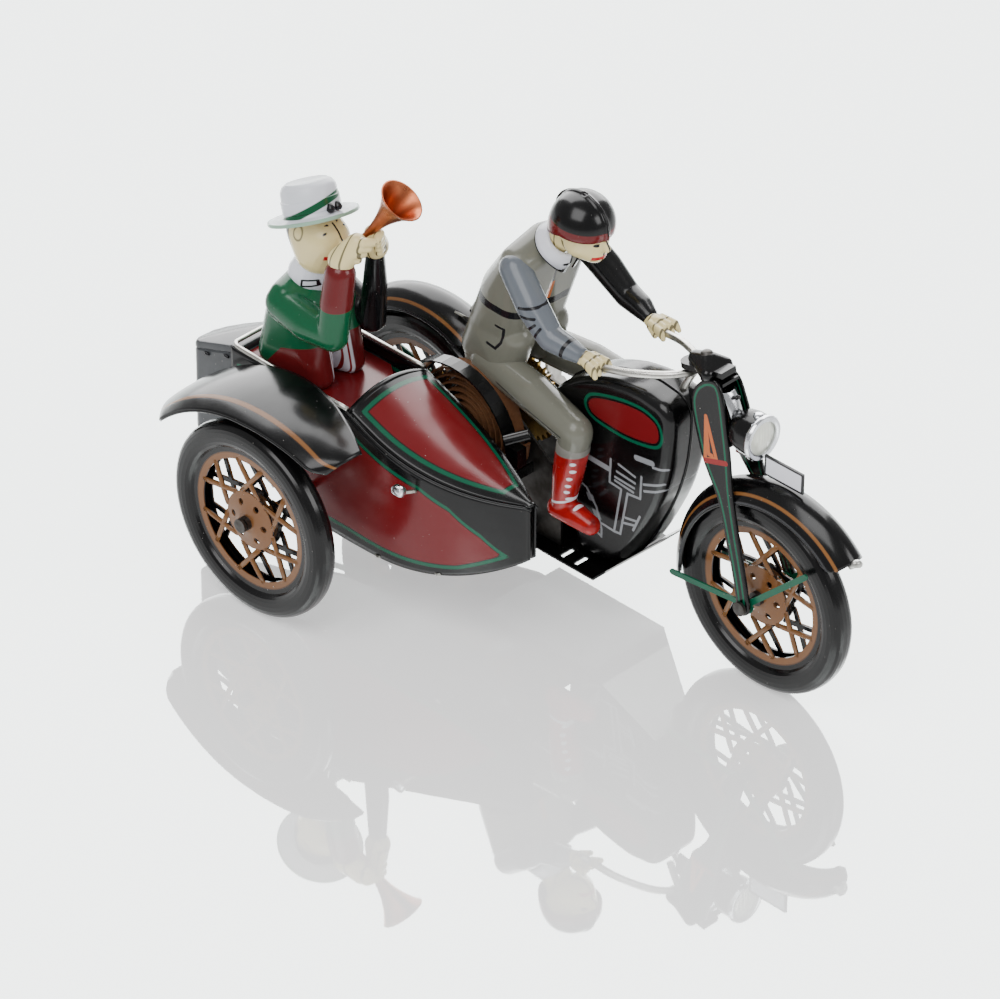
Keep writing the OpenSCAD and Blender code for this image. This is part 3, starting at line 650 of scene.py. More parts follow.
def dress(thing: bpy.types.Object, finish: bpy.types.Material, slot: str, body: str, *nodes: str) -> None:
    """Gives a new piece its finish and body, and hides the CAD nodes that it stands for.

    Args:
        thing: The piece.
        finish: Its material.
        slot: The record's material slot; not used.
        body: The body that it rides on.
        *nodes: The CAD nodes that it stands for.
    """
    thing.data.materials.clear()
    thing.data.materials.append(finish)
    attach(thing, body)
    if nodes:
        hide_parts(*nodes)
    LOG.info("%s: %d faces on %s", thing.name, len(thing.data.polygons), body)


def paint_node(node: str, finish: bpy.types.Material) -> None:
    """Gives a CAD node a better material and reports it.

    Args:
        node: Name of the node.
        finish: The material.
    """
    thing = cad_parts[node]
    thing.data.materials.clear()
    thing.data.materials.append(finish)
    LOG.info("%s: %s", node, finish.name)


# ---------- the look of each part ----------


def panel_print(paint: Paint, ground: Colour, edge: float, line: float) -> Term:
    """A field of colour with a green border line, from the mesh's own distance to the field's edge.

    Args:
        paint: The material.
        ground: Colour of the field.
        edge: Depth where the border starts.
        line: Width of the border.
    Returns:
        The colour.
    """
    depth = paint.mark("print")
    bordered = paint.mix(BLACK, GREEN_LINE, depth.over(edge, 0.012))
    field = paint.mix(bordered, BLACK, depth.over(edge + line * 0.8, 0.012))
    return paint.mix(field, ground, depth.over(edge + line, 0.012))


def sidecar_print(paint: Paint) -> Term:
    """Maroon field with a green line round it."""
    return panel_print(paint, MAROON, 0.0, 0.05)


def body_print(paint: Paint) -> Term:
    """The engine's silver lines and the maroon tank on the pressed body half.

    Args:
        paint: The material that it is drawn in.
    Returns:
        The colour.
    """
    u, v = paint.x, paint.z
    thin = [
        [(-2.15, 1.36), (-2.19, 1.24), (-2.14, 1.11), (-2.01, 0.95), (-1.82, 0.86), (-1.82, 0.95), (-1.89, 1.16),
         (-2.02, 1.32), (-2.15, 1.36)],
        [(-1.72, 1.78), (-1.73, 1.52), (-1.58, 1.51), (-1.66, 1.0), (-1.82, 1.01)],
        [(-1.33, 1.77), (-1.34, 1.52), (-1.5, 1.5), (-1.58, 1.01), (-1.66, 1.0)],
        [(-1.62, 1.77), (-1.41, 1.73)], [(-1.64, 1.68), (-1.41, 1.66)], [(-1.66, 1.61), (-1.42, 1.6)],
        [(-1.66, 1.57), (-1.43, 1.55)], [(-1.19, 1.94), (-1.04, 1.97)],
        [(-1.3, 1.7), (-1.08, 1.79)], [(-1.29, 1.63), (-1.09, 1.71)],
        [(-1.52, 1.22), (-1.37, 1.25)], [(-1.55, 1.15), (-1.4, 1.19)], [(-1.34, 1.32), (-1.42, 1.13)],
    ]
    thick = [[(-2.05, 1.67), (-1.75, 1.66)], [(-1.4, 1.95), (-1.2, 1.98)]]
    lines = paint.strokes(u, v, thin, 0.013).most(paint.strokes(u, v, thick, 0.03))
    knots = paint.strokes(u, v, [[(-1.98, 1.26), (-1.84, 1.0)]], 0.04)
    dashes = knots * (v * 42.0)._math("SINE").over(0.0, 0.4)
    inked = paint.mix(BLACK, SILVER_INK, lines.most(dashes * 0.8))
    depth = paint.mark("tank")
    bordered = paint.mix(inked, GREEN_LINE, depth.over(-0.012, 0.01))
    ringed = paint.mix(bordered, BLACK, depth.over(0.02, 0.01))
    return paint.mix(ringed, MAROON, depth.over(0.045, 0.01))


def blade_print(paint: Paint) -> Term:
    """Green lines, the orange triangle and the red bar on a fork blade.

    Args:
        paint: The material that it is drawn in.
    Returns:
        The colour.
    """
    u, v = paint.x, paint.z
    edge = paint.mark("edge")
    lined = paint.mix(BLACK, GREEN_LINE, edge.within(0.035, 0.058, 0.008))
    arrow = [(-0.65, 2.72), (-0.476, 2.35), (-0.604, 2.29), (-0.65, 2.72)]
    filled = paint.strokes(u, v, [arrow, [(-0.63, 2.6), (-0.57, 2.36), (-0.53, 2.36)]], 0.02)
    marked = paint.mix(lined, tone(186, 96, 48), filled)
    bar = paint.stroke(u, v, (-0.74, 2.24), (-0.36, 2.355), 0.026)
    return paint.mix(marked, tone(136, 28, 26), bar)


def fender_print(paint: Paint) -> Term:
    """A tan stripe round the fender, near its edges.

    Args:
        paint: The material that it is drawn in.
    Returns:
        The colour.
    """
    across = abs(paint.mark("across"))
    striped = paint.mix(BLACK, TAN, across.within(0.7, 0.79, 0.03))
    return paint.mix(striped, tone(36, 36, 40), across.over(0.96, 0.02))


def car_fender_print(paint: Paint) -> Term:
    """A tan stripe near the outer edge of the sidecar's fender."""
    across = paint.mark("across")
    return paint.mix(BLACK, TAN, across.within(0.76, 0.82, 0.02))


def wheel_print(paint: Paint) -> Term:
    """Tan hub, spokes and rim ring on a black wheel; the inner faces are black.

    Args:
        paint: The material that it is drawn in.
    Returns:
        The colour.
    """
    low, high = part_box(paint.material.name.replace("_print", "_right_half"))
    centre = [(low[i] + high[i]) / 2 for i in (0, 2)]
    cx = (centre[0] - LAYOUT.origin.x) / LAYOUT.radius
    cz = centre[1] / LAYOUT.radius
    reach = (paint.x - cx).hypot(paint.z - cz)
    _, outer_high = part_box(paint.material.name.replace("_print", "_left_half"))
    middle = ((low.y + outer_high.y) / 2 - LAYOUT.origin.y) / LAYOUT.radius
    face = abs(paint.y - middle).over(LAYOUT.mm(1.45), 0.004)
    rim = reach.under(0.7, 0.012) * face
    seam = reach.within(0.69, 0.705, 0.006)
    tread = (reach * 90.0)._math("SINE").over(0.9, 0.2) * reach.over(0.94)
    inked = paint.mix(paint.mix(BLACK, tone(12, 12, 13), tread), tone(112, 74, 42), rim)
    return paint.mix(inked, tone(60, 42, 30), seam * 0.5)


JACKET, SLEEVE = tone(108, 108, 98), tone(96, 101, 108)
INK = tone(20, 20, 24)


def jacket_print(paint: Paint) -> Term:
    """The rider's jacket: belt, pocket, front seam and a badge.

    Args:
        paint: The material that it is drawn in.
    Returns:
        The colour.
    """
    u, v, side = paint.x, paint.z, abs(paint.y)
    pocket = [[(-3.08, 2.68), (-2.99, 2.67), (-3.03, 2.5), (-3.09, 2.42), (-3.19, 2.44)]]
    belt = (v + u * 0.12).within(2.475, 2.565, 0.008) * u.over(-3.4)
    drawn = paint.strokes(u, v, pocket, 0.014) * side.over(0.2)
    seam = side.under(0.014, 0.006) * v.over(2.4)
    inked = paint.mix(JACKET, INK, belt.most(drawn).most(seam))
    badge = side.under(0.03) * v.within(2.9, 3.12) * u.over(-2.9)
    return paint.mix(inked, tone(190, 96, 40), badge * 0.8)


def sleeve_print(paint: Paint) -> Term:
    """Sleeves with creases and a cuff line; the far sleeve's inner face is black.

    Args:
        paint: The material that it is drawn in.
    Returns:
        The colour.
    """
    u, v = paint.x, paint.z
    creases = [[(-2.58, 3.2), (-2.42, 3.24)], [(-2.57, 3.12), (-2.4, 3.15)], [(-2.5, 2.98), (-2.38, 3.1)],
               [(-2.37, 2.98), (-2.32, 3.08)]]
    cuff = paint.stroke(u, v, (-2.03, 3.12), (-2.12, 2.72), 0.018)
    inked = paint.mix(SLEEVE, INK, cuff.most(paint.strokes(u, v, creases, 0.014)))
    return paint.mix(inked, tone(14, 14, 15), paint.y.over(0.2) * paint.y.under(0.58, 0.02))


def collar_print(paint: Paint) -> Term:
    """White collar with a dark edge and a button."""
    dot = paint.disc(paint.x, paint.z, (-2.5, 3.46), 0.02)
    return paint.mix(WHITE_INK, INK, dot.most(paint.mark("print").under(0.09, 0.02)))


def tall_collar_print(paint: Paint) -> Term:
    """White collar with the outline of a bow's loop on its side."""
    loop = [(-4.52, 2.95), (-4.4, 2.97), (-4.39, 3.04), (-4.51, 3.02), (-4.52, 2.95)]
    return paint.mix(WHITE_INK, INK, paint.strokes(paint.x, paint.z, [loop], 0.01))


def trousers_print(paint: Paint) -> Term:
    """Plain trousers with a crease along the leg."""
    crease = paint.stroke(paint.x, paint.z, (-3.2, 2.16), (-2.05, 2.02), 0.01) * abs(paint.y).over(0.5)
    return paint.mix(JACKET, INK, crease * 0.7)


def boot_print(paint: Paint) -> Term:
    """Red boots with a grey top, white lacing and an ankle line.

    Args:
        paint: The material that it is drawn in.
    Returns:
        The colour.
    """
    u, v = paint.x, paint.z
    red = paint.mix(tone(160, 26, 26), tone(96, 12, 14), paint.noise(6.0).over(0.62, 0.3))
    ankle = paint.stroke(u, v, (-2.2, 1.22), (-1.89, 1.32), 0.012)
    lacing = [(-1.93, 1.75), (-1.94, 1.66), (-1.97, 1.57), (-1.99, 1.48), (-2.01, 1.4), (-2.01, 1.31),
              (-1.95, 1.22)]
    dots = ankle
    for spot in lacing:
        dots = dots.most(paint.disc(u, v, spot, 0.02))
    laced = paint.mix(red, WHITE_INK, dots)
    return paint.mix(laced, tone(120, 118, 112), v.over(1.82, 0.01))


def rider_head_print(paint: Paint) -> Term:
    """A plain toy face: eye, brow, lips and the split line down the middle.

    Args:
        paint: The material that it is drawn in.
    Returns:
        The colour.
    """
    u, v, side = paint.x, paint.z, abs(paint.y)
    eye = paint.disc(u, v, (-2.13, 3.83), 0.02) * side.over(0.06)
    brow = paint.stroke(u, v, (-2.17, 3.89), (-2.07, 3.885), 0.011) * side.over(0.05)
    lips = paint.stroke(u, v, (-2.2, 3.67), (-2.05, 3.675), 0.02) * side.under(0.1)
    face = paint.mix(FLESH, INK, eye.most(brow).most(side.under(0.01, 0.005)))
    return paint.mix(face, tone(178, 30, 34), lips)


def hand_print(paint: Paint) -> Term:
    """Flesh with dark lines between the fingers."""
    lines = (paint.x * 62.0)._math("SINE").over(0.86, 0.1)
    return paint.mix(FLESH, INK, lines * 0.8)


def helmet_print(paint: Paint) -> Term:
    """Black helmet with a dark red band along its lower edge."""
    band = (paint.z + paint.x * 0.12).under(3.71, 0.01)
    return paint.mix(BLACK, tone(92, 16, 18), band)


CAR_MIDDLE = -1.33
COAT = tone(10, 80, 50)


def coat_print(paint: Paint) -> Term:
    """Green jacket over a maroon waistcoat and a striped shirt front.

    Args:
        paint: The material that it is drawn in.
    Returns:
        The colour.
    """
    u, v, side = paint.x, paint.z, abs(paint.y - CAR_MIDDLE)
    waist = (v - u * 0.35).under(3.93, 0.01) * (v - u * 1.2).under(7.85, 0.01)
    shirt = waist * side.under(0.14, 0.01) * u.over(-4.4)
    stripes = (side * 130.0)._math("SINE").over(0.55, 0.2)
    cloth = paint.mix(COAT, tone(96, 24, 26), waist)
    front_cloth = paint.mix(WHITE_INK, tone(130, 30, 34), stripes)
    dressed = paint.mix(cloth, front_cloth, shirt)
    cuff = v.over(3.03, 0.01) * u.over(-4.16)
    return paint.mix(dressed, tone(92, 22, 24), cuff)


def passenger_head_print(paint: Paint) -> Term:
    """A plain toy face with an ear, dark hair at the nape and red lips.

    Args:
        paint: The material that it is drawn in.
    Returns:
        The colour.
    """
    u, v, side = paint.x, paint.z, abs(paint.y - CAR_MIDDLE)
    eye = paint.disc(u, v, (-4.27, 3.6), 0.012) * side.over(0.05)
    brow = paint.stroke(u, v, (-4.31, 3.655), (-4.24, 3.655), 0.006) * side.over(0.05)
    ear_reach = (u + 4.5).hypot((v - 3.56) * 0.7)
    ear = ear_reach.within(0.04, 0.056, 0.008) * side.over(0.15)
    profile = side.under(0.01, 0.006) * u.over(-4.3) * v.over(3.4)
    face = paint.mix(FLESH, INK, eye.most(brow).most(ear * 0.7).most(profile))
    lips = paint.stroke(u, v, (-4.27, 3.37), (-4.1, 3.37), 0.024) * side.under(0.17)
    hair = (u + v * 0.1).under(-4.27, 0.02) * v.over(3.38, 0.02)
    return paint.mix(paint.mix(face, tone(176, 30, 34), lips), tone(34, 26, 22), hair)


def hat_print(paint: Paint) -> Term:
    """White straw hat with a green band round the crown and a greenish rim.

    Args:
        paint: The material that it is drawn in.
    Returns:
        The colour.
    """
    height, out = paint.mark("height"), paint.mark("out")
    weave = (out * 150.0)._math("SINE").over(0.4, 0.6) * 0.12
    straw = paint.mix(tone(216, 219, 226), tone(170, 176, 180), weave)
    band = paint.mark("slant").within(0.08, 0.155, 0.01) * height.over(0.04, 0.005) * height.under(0.29, 0.01)
    banded = paint.mix(straw, tone(12, 80, 50), band)
    return paint.mix(banded, tone(140, 170, 150), out.over(0.415, 0.01))


def plate_print(paint: Paint) -> Term:
    """Blank pale plate with a thin dark border.

    Args:
        paint: The material that it is drawn in.
    Returns:
        The colour.
    """
    low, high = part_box("number_plate")
    x = [(p.x - LAYOUT.origin.x) / LAYOUT.radius for p in (low, high)]
    z = [p.z / LAYOUT.radius for p in (low, high)]
    rim = 0.022
    inside = paint.x.within(x[0] + rim, x[1] - rim) * paint.z.within(z[0] + rim, z[1] - rim)
    return paint.mix(INK, tone(222, 222, 230), inside)


def footboard_print(paint: Paint) -> Term:
    """Black board whose rising front strip is bare and bright."""
    return paint.mix(BLACK, tone(168, 168, 166), paint.x.over(-1.6, 0.01))


PLAIN_PRINTS: dict[str, Print] = {
    "black": plain(BLACK), "green": plain(GREEN_LINE), "maroon_sheet": plain(MAROON),
    "footboard_sheet": footboard_print, "trunk_grey": plain(tone(62, 64, 67)),
    "tan": plain(tone(116, 78, 44)), "ink": plain(INK), "spring_brown": plain(tone(112, 76, 52)),
    "far_arm": plain(tone(18, 18, 20)),
}


@dataclass(frozen=True)
class Glow:
    """Pearly lens: pale, nearly clear lacquer over bright tin, ribbed."""

    name: str = "lens_pearl"

    def make(self) -> bpy.types.Material:
        """Draws the finish.

        Returns:
            The material.
        """
        paint = Paint(self.name)
        rings = (abs(paint.y) * 130.0)._math("SINE")
        colour = paint.mix(tone(206, 208, 190), tone(236, 238, 230), paint.noise(5.0, 2.0))
        return paint.close(colour, paint.noise(9.0) * 0.1 + 0.12, 0.15, 0.6, rings, 0.3)


class Finishes:
    """Every finish of the toy, made once and found by name."""

    def __init__(self) -> None:
        """Makes the metals and the prints."""
        printed = {
            "body_litho": body_print, "blade_litho": blade_print, "sidecar_litho": sidecar_print,
            "fender_stripe": fender_print, "car_fender_stripe": car_fender_print, "jacket": jacket_print,
            "sleeves": sleeve_print, "collar": collar_print, "tall_collar": tall_collar_print,
            "trousers": trousers_print, "boots": boot_print,
            "rider_face": rider_head_print, "hands": hand_print, "helmet": helmet_print, "coat": coat_print,
            "passenger_face": passenger_head_print, "hat_straw": hat_print, "plate": plate_print,
            "front_wheel_print": wheel_print, "rear_wheel_print": wheel_print,
            "sidecar_wheel_print": wheel_print, **PLAIN_PRINTS,
        }
        metals = [
            Metal("bright_tin", tone(204, 203, 198), tone(150, 146, 138), 0.24, (1, 1, 9)),
            Metal("dark_steel", tone(96, 95, 94), tone(58, 54, 50), 0.34, (9, 1, 1), 0.55),
            Metal("chrome", tone(226, 228, 232), tone(176, 178, 182), 0.15, (1, 6, 1), 0.4),
            Metal("brass", tone(206, 170, 92), tone(140, 104, 52), 0.28, (1, 1, 8)),
            Metal("copper_ink", tone(190, 110, 74), tone(150, 82, 54), 0.26, (7, 1, 1), 0.5),
            Metal("clip_tin", tone(188, 188, 184), tone(132, 130, 124), 0.28, (6, 1, 1)),
        ]
        self.found = {name: Enamel(name, draw).make() for name, draw in printed.items()}
        self.found.update({metal.name: metal.make() for metal in metals})
        self.found["lens_pearl"] = Glow().make()

    def __getitem__(self, name: str) -> bpy.types.Material:
        """Returns a finish."""
        return self.found[name]


# ---------- sub-assemblies ----------


def arc(centre: Flat, reach: float, first: float, last: float, steps: int) -> list[Flat]:
    """Points on an arc, by angle in degrees.

    Args:
        centre: Middle of the circle.
        reach: Radius.
        first: First angle.
        last: Last angle.
        steps: Number of steps.
    Returns:
        The points.
    """
    return [(centre[0] + reach * math.cos(math.radians(a)), centre[1] + reach * math.sin(math.radians(a)))
            for a in np.linspace(first, last, steps + 1)]


def depth_inside(outline: Sequence[Flat], points: np.ndarray) -> np.ndarray:
    """How far each point is inside a closed outline; negative outside.

    Args:
        outline: The outline's points.
        points: Rows of two coordinates.
    Returns:
        The depth of each point.
    """
    line = np.asarray(outline, float)
    best = np.full(len(points), 1e9)
    crossings = np.zeros(len(points), int)
    for a, b in zip(line, np.roll(line, -1, 0)):
        d = b - a
        share = np.clip(((points - a) @ d) / max(d @ d, 1e-12), 0, 1)
        best = np.minimum(best, np.linalg.norm(points - a - share[:, None] * d, axis=1))
        straddles = (a[1] > points[:, 1]) != (b[1] > points[:, 1])
        if d[1]:
            crossings += straddles & (points[:, 0] < a[0] + (points[:, 1] - a[1]) * d[0] / d[1])
    return np.where(crossings % 2 == 1, best, -best)


def stamp(thing: bpy.types.Object, key: str, outline: Sequence[Flat]) -> None:
    """Stores on a mesh how far its points are inside an outline drawn in side view.

    Args:
        thing: The piece.
        key: Name of the stored number.
        outline: The outline as (x, z).
    """
    count = len(thing.data.vertices)
    places = np.zeros(count * 3)
    thing.data.vertices.foreach_get("co", places)
    places = (places.reshape(-1, 3) - np.array(LAYOUT.origin)) / LAYOUT.radius
    attribute = thing.data.attributes.new(key, "FLOAT", "POINT")
    attribute.data.foreach_set("value", depth_inside(outline, places[:, [0, 2]]).astype(np.float32))


def refine(thing: bpy.types.Object, size: float) -> None:
    """Splits a panel's flat face into a fine grid, so that numbers stored on its points stay crisp.

    Args:
        thing: The piece.
        size: Longest edge that is kept, in wheel radii.
    """
    form = bmesh.new()
    form.from_mesh(thing.data)
    bmesh.ops.triangulate(form, faces=[f for f in form.faces if len(f.verts) > 4])
    for _ in range(9):
        long = [e for e in form.edges if e.calc_length() > size * LAYOUT.radius]
        if not long:
            break
        bmesh.ops.subdivide_edges(form, edges=long, cuts=1, use_grid_fill=False)
        bmesh.ops.triangulate(form, faces=[f for f in form.faces if len(f.verts) > 4])
    form.to_mesh(thing.data)
    form.free()


BODY_OUTLINE = [(-1.49, 0.78), (-1.15, 1.46), (-1.02, 1.9), (-0.98, 2.3), *arc((-1.2, 2.44), 0.22, 0, 90, 6),
                (-1.4, 2.69), (-1.8, 2.62), (-2.2, 2.44), (-2.5, 2.2), (-2.56, 1.95), (-2.25, 1.7),
                (-2.24, 0.56), (-1.72, 0.56)]
TANK_OUTLINE = [(-2.0, 2.39), (-1.62, 2.5), (-1.32, 2.53), (-1.12, 2.46), (-1.07, 2.3), (-1.13, 2.17),
                (-1.38, 2.11), (-1.61, 2.09), (-1.99, 2.12), (-2.08, 2.25)]
BLADE_OUTLINE = [(0.08, 0.95), (0, 0.9), (-0.08, 0.95), (-0.065, 1.05), (-0.4, 1.94), (-0.52, 2.1), (-0.66, 2.3),
                 (-0.86, 2.78), (-0.83, 2.96), (-0.72, 3.08), (-0.58, 3.12), (-0.5, 3.04), (-0.42, 2.77),
                 (-0.32, 2.4), (-0.245, 2.02), (0.085, 1.07)]


@dataclass
class Engine:
    """The pressed body halves with engine and tank, the footboard and the clockwork."""

    finishes: Finishes
    half: float = 0.28
    press_edge: float = 0.1
    mesh_size: float = 0.06

    def build(self) -> None:
        """Makes and dresses every piece."""
        for side in Side:
            node = f"body_{side.name.lower()}_half"
            shell = panel(node + "_pressing", rounded(BODY_OUTLINE), 0.0, side.value * self.half, self.press_edge)
            refine(shell, self.mesh_size)
            stamp(shell, "tank", rounded(TANK_OUTLINE, 3))
            dress(shell, self.finishes["body_litho"], "engine_litho", "chassis", node)
        dark = self.finishes["dark_steel"]
        for node in ("motor_plate_right", "motor_plate_left", "motor_pillars", "winding_arbor", "rear_axle"):
            paint_node(node, dark)
        for node in ("great_wheel", "intermediate_wheel", "intermediate_pinion", "axle_pinion"):
            paint_node(node, self.finishes["brass"])
        paint_node("mainspring", self.finishes["spring_brown"])
        paint_node("footboard", self.finishes["footboard_sheet"])
        paint_node("spring_guard", self.finishes["black"])
        paint_node("spring_post", self.finishes["black"])
        paint_node("winding_key", self.finishes["bright_tin"])
        self.frame_edge()

    def frame_edge(self) -> None:
        """The flat seam that stands round the two halves where they meet."""
        outline = rounded(BODY_OUTLINE)
        ring = [(p[0], 0.0, p[1]) for p in inset(outline, -0.004)]
        seam = tube("body_seam_bead", ring + ring[:1], 0.012, 8, 1)
        dress(seam, self.finishes["black"], "black_enamel", "chassis")


@dataclass
class Wheels:
    """The three disc wheels with their ribbed spokes and bushes."""

    finishes: Finishes
    rib: float = 0.026
    crossings: int = 6

    def build(self) -> None:
        """Dresses the pressed halves and adds the raised spokes."""
        for wheel in ("front", "rear", "sidecar"):
            body = f"{wheel}_wheel"
            for side in Side:
                node = f"{body}_{side.name.lower()}_half"
                paint_node(node, self.finishes[f"{body}_print"])
                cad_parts[node].data.shade_smooth()
                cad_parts[node].data.set_sharp_from_angle(angle=math.radians(28))
            paint_node(f"{body}_bush", self.finishes["dark_steel"])
            self.ribs(body)
        paint_node("rear_wheel_bush", self.finishes["dark_steel"])
        for node in ("front_axle", "sidecar_axle"):
            paint_node(node, self.finishes["dark_steel"])

    def ribs(self, body: str) -> None:
        """Raised half-round spokes on the two outer faces of a wheel.

        Args:
            body: The wheel's body.
        """
        low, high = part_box(f"{body}_right_half")
        _, other_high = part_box(f"{body}_left_half")
        cx = ((low.x + high.x) / 2 - LAYOUT.origin.x) / LAYOUT.radius
        cz = (low.z + high.z) / 2 / LAYOUT.radius
        middle = ((low.y + other_high.y) / 2 - LAYOUT.origin.y) / LAYOUT.radius
        for side in Side:
            points: list[Point] = []
            faces: list[tuple[int, ...]] = []
            for k in range(self.crossings):
                centre = math.radians(30 + 60 * k)
                for lean in (-1, 1):
                    first = centre + lean * math.radians(15)
                    start = np.array([0.65 * math.cos(first), 0.65 * math.sin(first)])
                    cross = np.array([0.42 * math.cos(centre), 0.42 * math.sin(centre)])
                    ahead = (cross - start) / np.linalg.norm(cross - start)
                    stop = cross + ahead * 0.17
                    normal = np.array([-ahead[1], ahead[0]])
                    base = len(points)
                    for spot in np.linspace(0, 1, 5):
                        at = start + (stop - start) * spot
                        for a in np.linspace(0, math.pi, 7):
                            off = normal * self.rib * math.cos(a)
                            rise = LAYOUT.mm(1.68) + self.rib * 0.75 * math.sin(a) * (0.4 if spot in (0, 1) else 1)
                            points.append((cx + at[0] + off[0], middle + side.value * rise, cz + at[1] + off[1]))
                    faces += [tuple(base + i for i in face) for face in grid_faces(5, 7)]
                    faces += [tuple(base + 4 * 7 + i for i in range(7)), tuple(base + i for i in range(7))]
            ribs = outward(piece(f"{body}_{side.name.lower()}_spoke_ribs", points, faces))
            dress(ribs, self.finishes["tan"], "wheel_litho", body)


@dataclass
class Fenders:
    """The three mudguards with their stays, stripes and rolled edges."""

    finishes: Finishes
    columns: int = 29
    rows: int = 90

    def build(self) -> None:
        """Makes and dresses the mudguards."""
        self.pressed("front_fender", "fork", (0.2, 1.1), (1.145, 0.145, 100), 0.21, 0.17, (42, 193))
        self.pressed("rear_fender", "chassis", (-4.25, 1.1), (1.2, 0.13, 150), 0.24, 0.16, (60, 205))
        self.sidecar()
        for node in ("front_stays", "rear_stays"):
            paint_node(node, self.finishes["green"])
        paint_node("fender_clips", self.finishes["clip_tin"])
        self.eyelet()

    def pressed(self, node: str, body: str, centre: Flat, flare: Point, half: float, dip: float,
                span: Flat) -> None:
        """A crowned mudguard over a wheel, with rounded ends and edges turned in.

        Args:
            node: The CAD node that it stands for.
            body: The body that it rides on.
            centre: Middle of its curve in side view.
            flare: Radius, growth of the radius and the angle where the growth starts.
            half: Half width.
            dip: How far the edges drop below the crown.
            span: First and last angle.
        """
        rows, across = [], []
        for a in np.linspace(span[0], span[1], self.rows):
            to_end = min(a - span[0], (span[1] - a) * 2)
            pull = math.sqrt(max(0.0, 1 - max(0.0, 1 - to_end / 4.0) ** 2))
            width = half * (0.72 + 0.28 * pull)
            base = flare[0] + flare[1] * (max(0.0, a - flare[2]) / 100) ** 2
            row = []
            for s in np.linspace(1, -1, self.columns):
                share = s * width / half
                reach = base - dip * share ** 2
                row.append((centre[0] + reach * math.cos(math.radians(a)), width * s,
                            centre[1] + reach * math.sin(math.radians(a))))
                across.append(share)
            rows.append(row)
        thing = sheet(node + "_pressing", rows, TIN, {"across": across})
        dress(thing, self.finishes["fender_stripe"], "fender_litho", body, node)
        for name, column in (("left", 0), ("right", -1)):
            path = [row[column] for row in rows[::3]]
            edge = tube(f"{node}_{name}_edge", path, 0.013, 8, 2)
            dress(edge, self.finishes["black"], "fender_litho", body)

    def sidecar(self) -> None:
        """The sidecar's mudguard, whose ends draw out and whose outer edge curls down."""
        low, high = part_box("sidecar_wheel_right_half")
        cx, cz = ((low.x + high.x) / 2 - LAYOUT.origin.x) / LAYOUT.radius, (low.z + high.z) / 2 / LAYOUT.radius
        rows, across = [], []
        for a in np.linspace(45, 158, self.rows):
            share = ((a - 95) / (49 if a < 95 else 63)) ** 2
            rear = max(0.0, (a - 150) / 8)
            inner = -1.83 - 0.3 * share - 0.06 * rear ** 2
            outer = -2.6 + 0.18 * (1 - math.sqrt(max(0.0, 1 - rear ** 2))) + 0.12 * max(0.0, (52 - a) / 7) ** 2
            row = []
            for s in np.linspace(0, 1, self.columns):
                reach = 1.235 + 0.25 * share - 0.15 * s ** 3
                row.append((cx + reach * math.cos(math.radians(a)), inner * (1 - s) + outer * s,
                            cz + reach * math.sin(math.radians(a))))
                across.append(s)
            rows.append(row)
        thing = sheet("sidecar_fender_pressing", rows, TIN, {"across": across})
        dress(thing, self.finishes["car_fender_stripe"], "fender_litho", "chassis", "sidecar_fender")
        for name, column in (("inner", 0), ("outer", -1)):
            edge = tube(f"sidecar_fender_{name}_edge", [row[column] for row in rows[::3]], 0.013, 8, 2)
            dress(edge, self.finishes["black"], "fender_litho", "chassis")

    def eyelet(self) -> None:
        """The folded tab at the front mudguard's tip."""
        _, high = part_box("front_fender")
        tip = (high.x - LAYOUT.origin.x) / LAYOUT.radius
        folds = [(tip - 0.09, -0.05, 1.82), (tip - 0.05, -0.02, 1.87), (tip - 0.045, 0.03, 1.84),
                 (tip - 0.08, 0.06, 1.8)]
        tab = tube("front_fender_tab", folds, [0.02, 0.04, 0.034, 0.015], 10, 3)
        dress(tab, self.finishes["clip_tin"], "bright_tin", "fork")


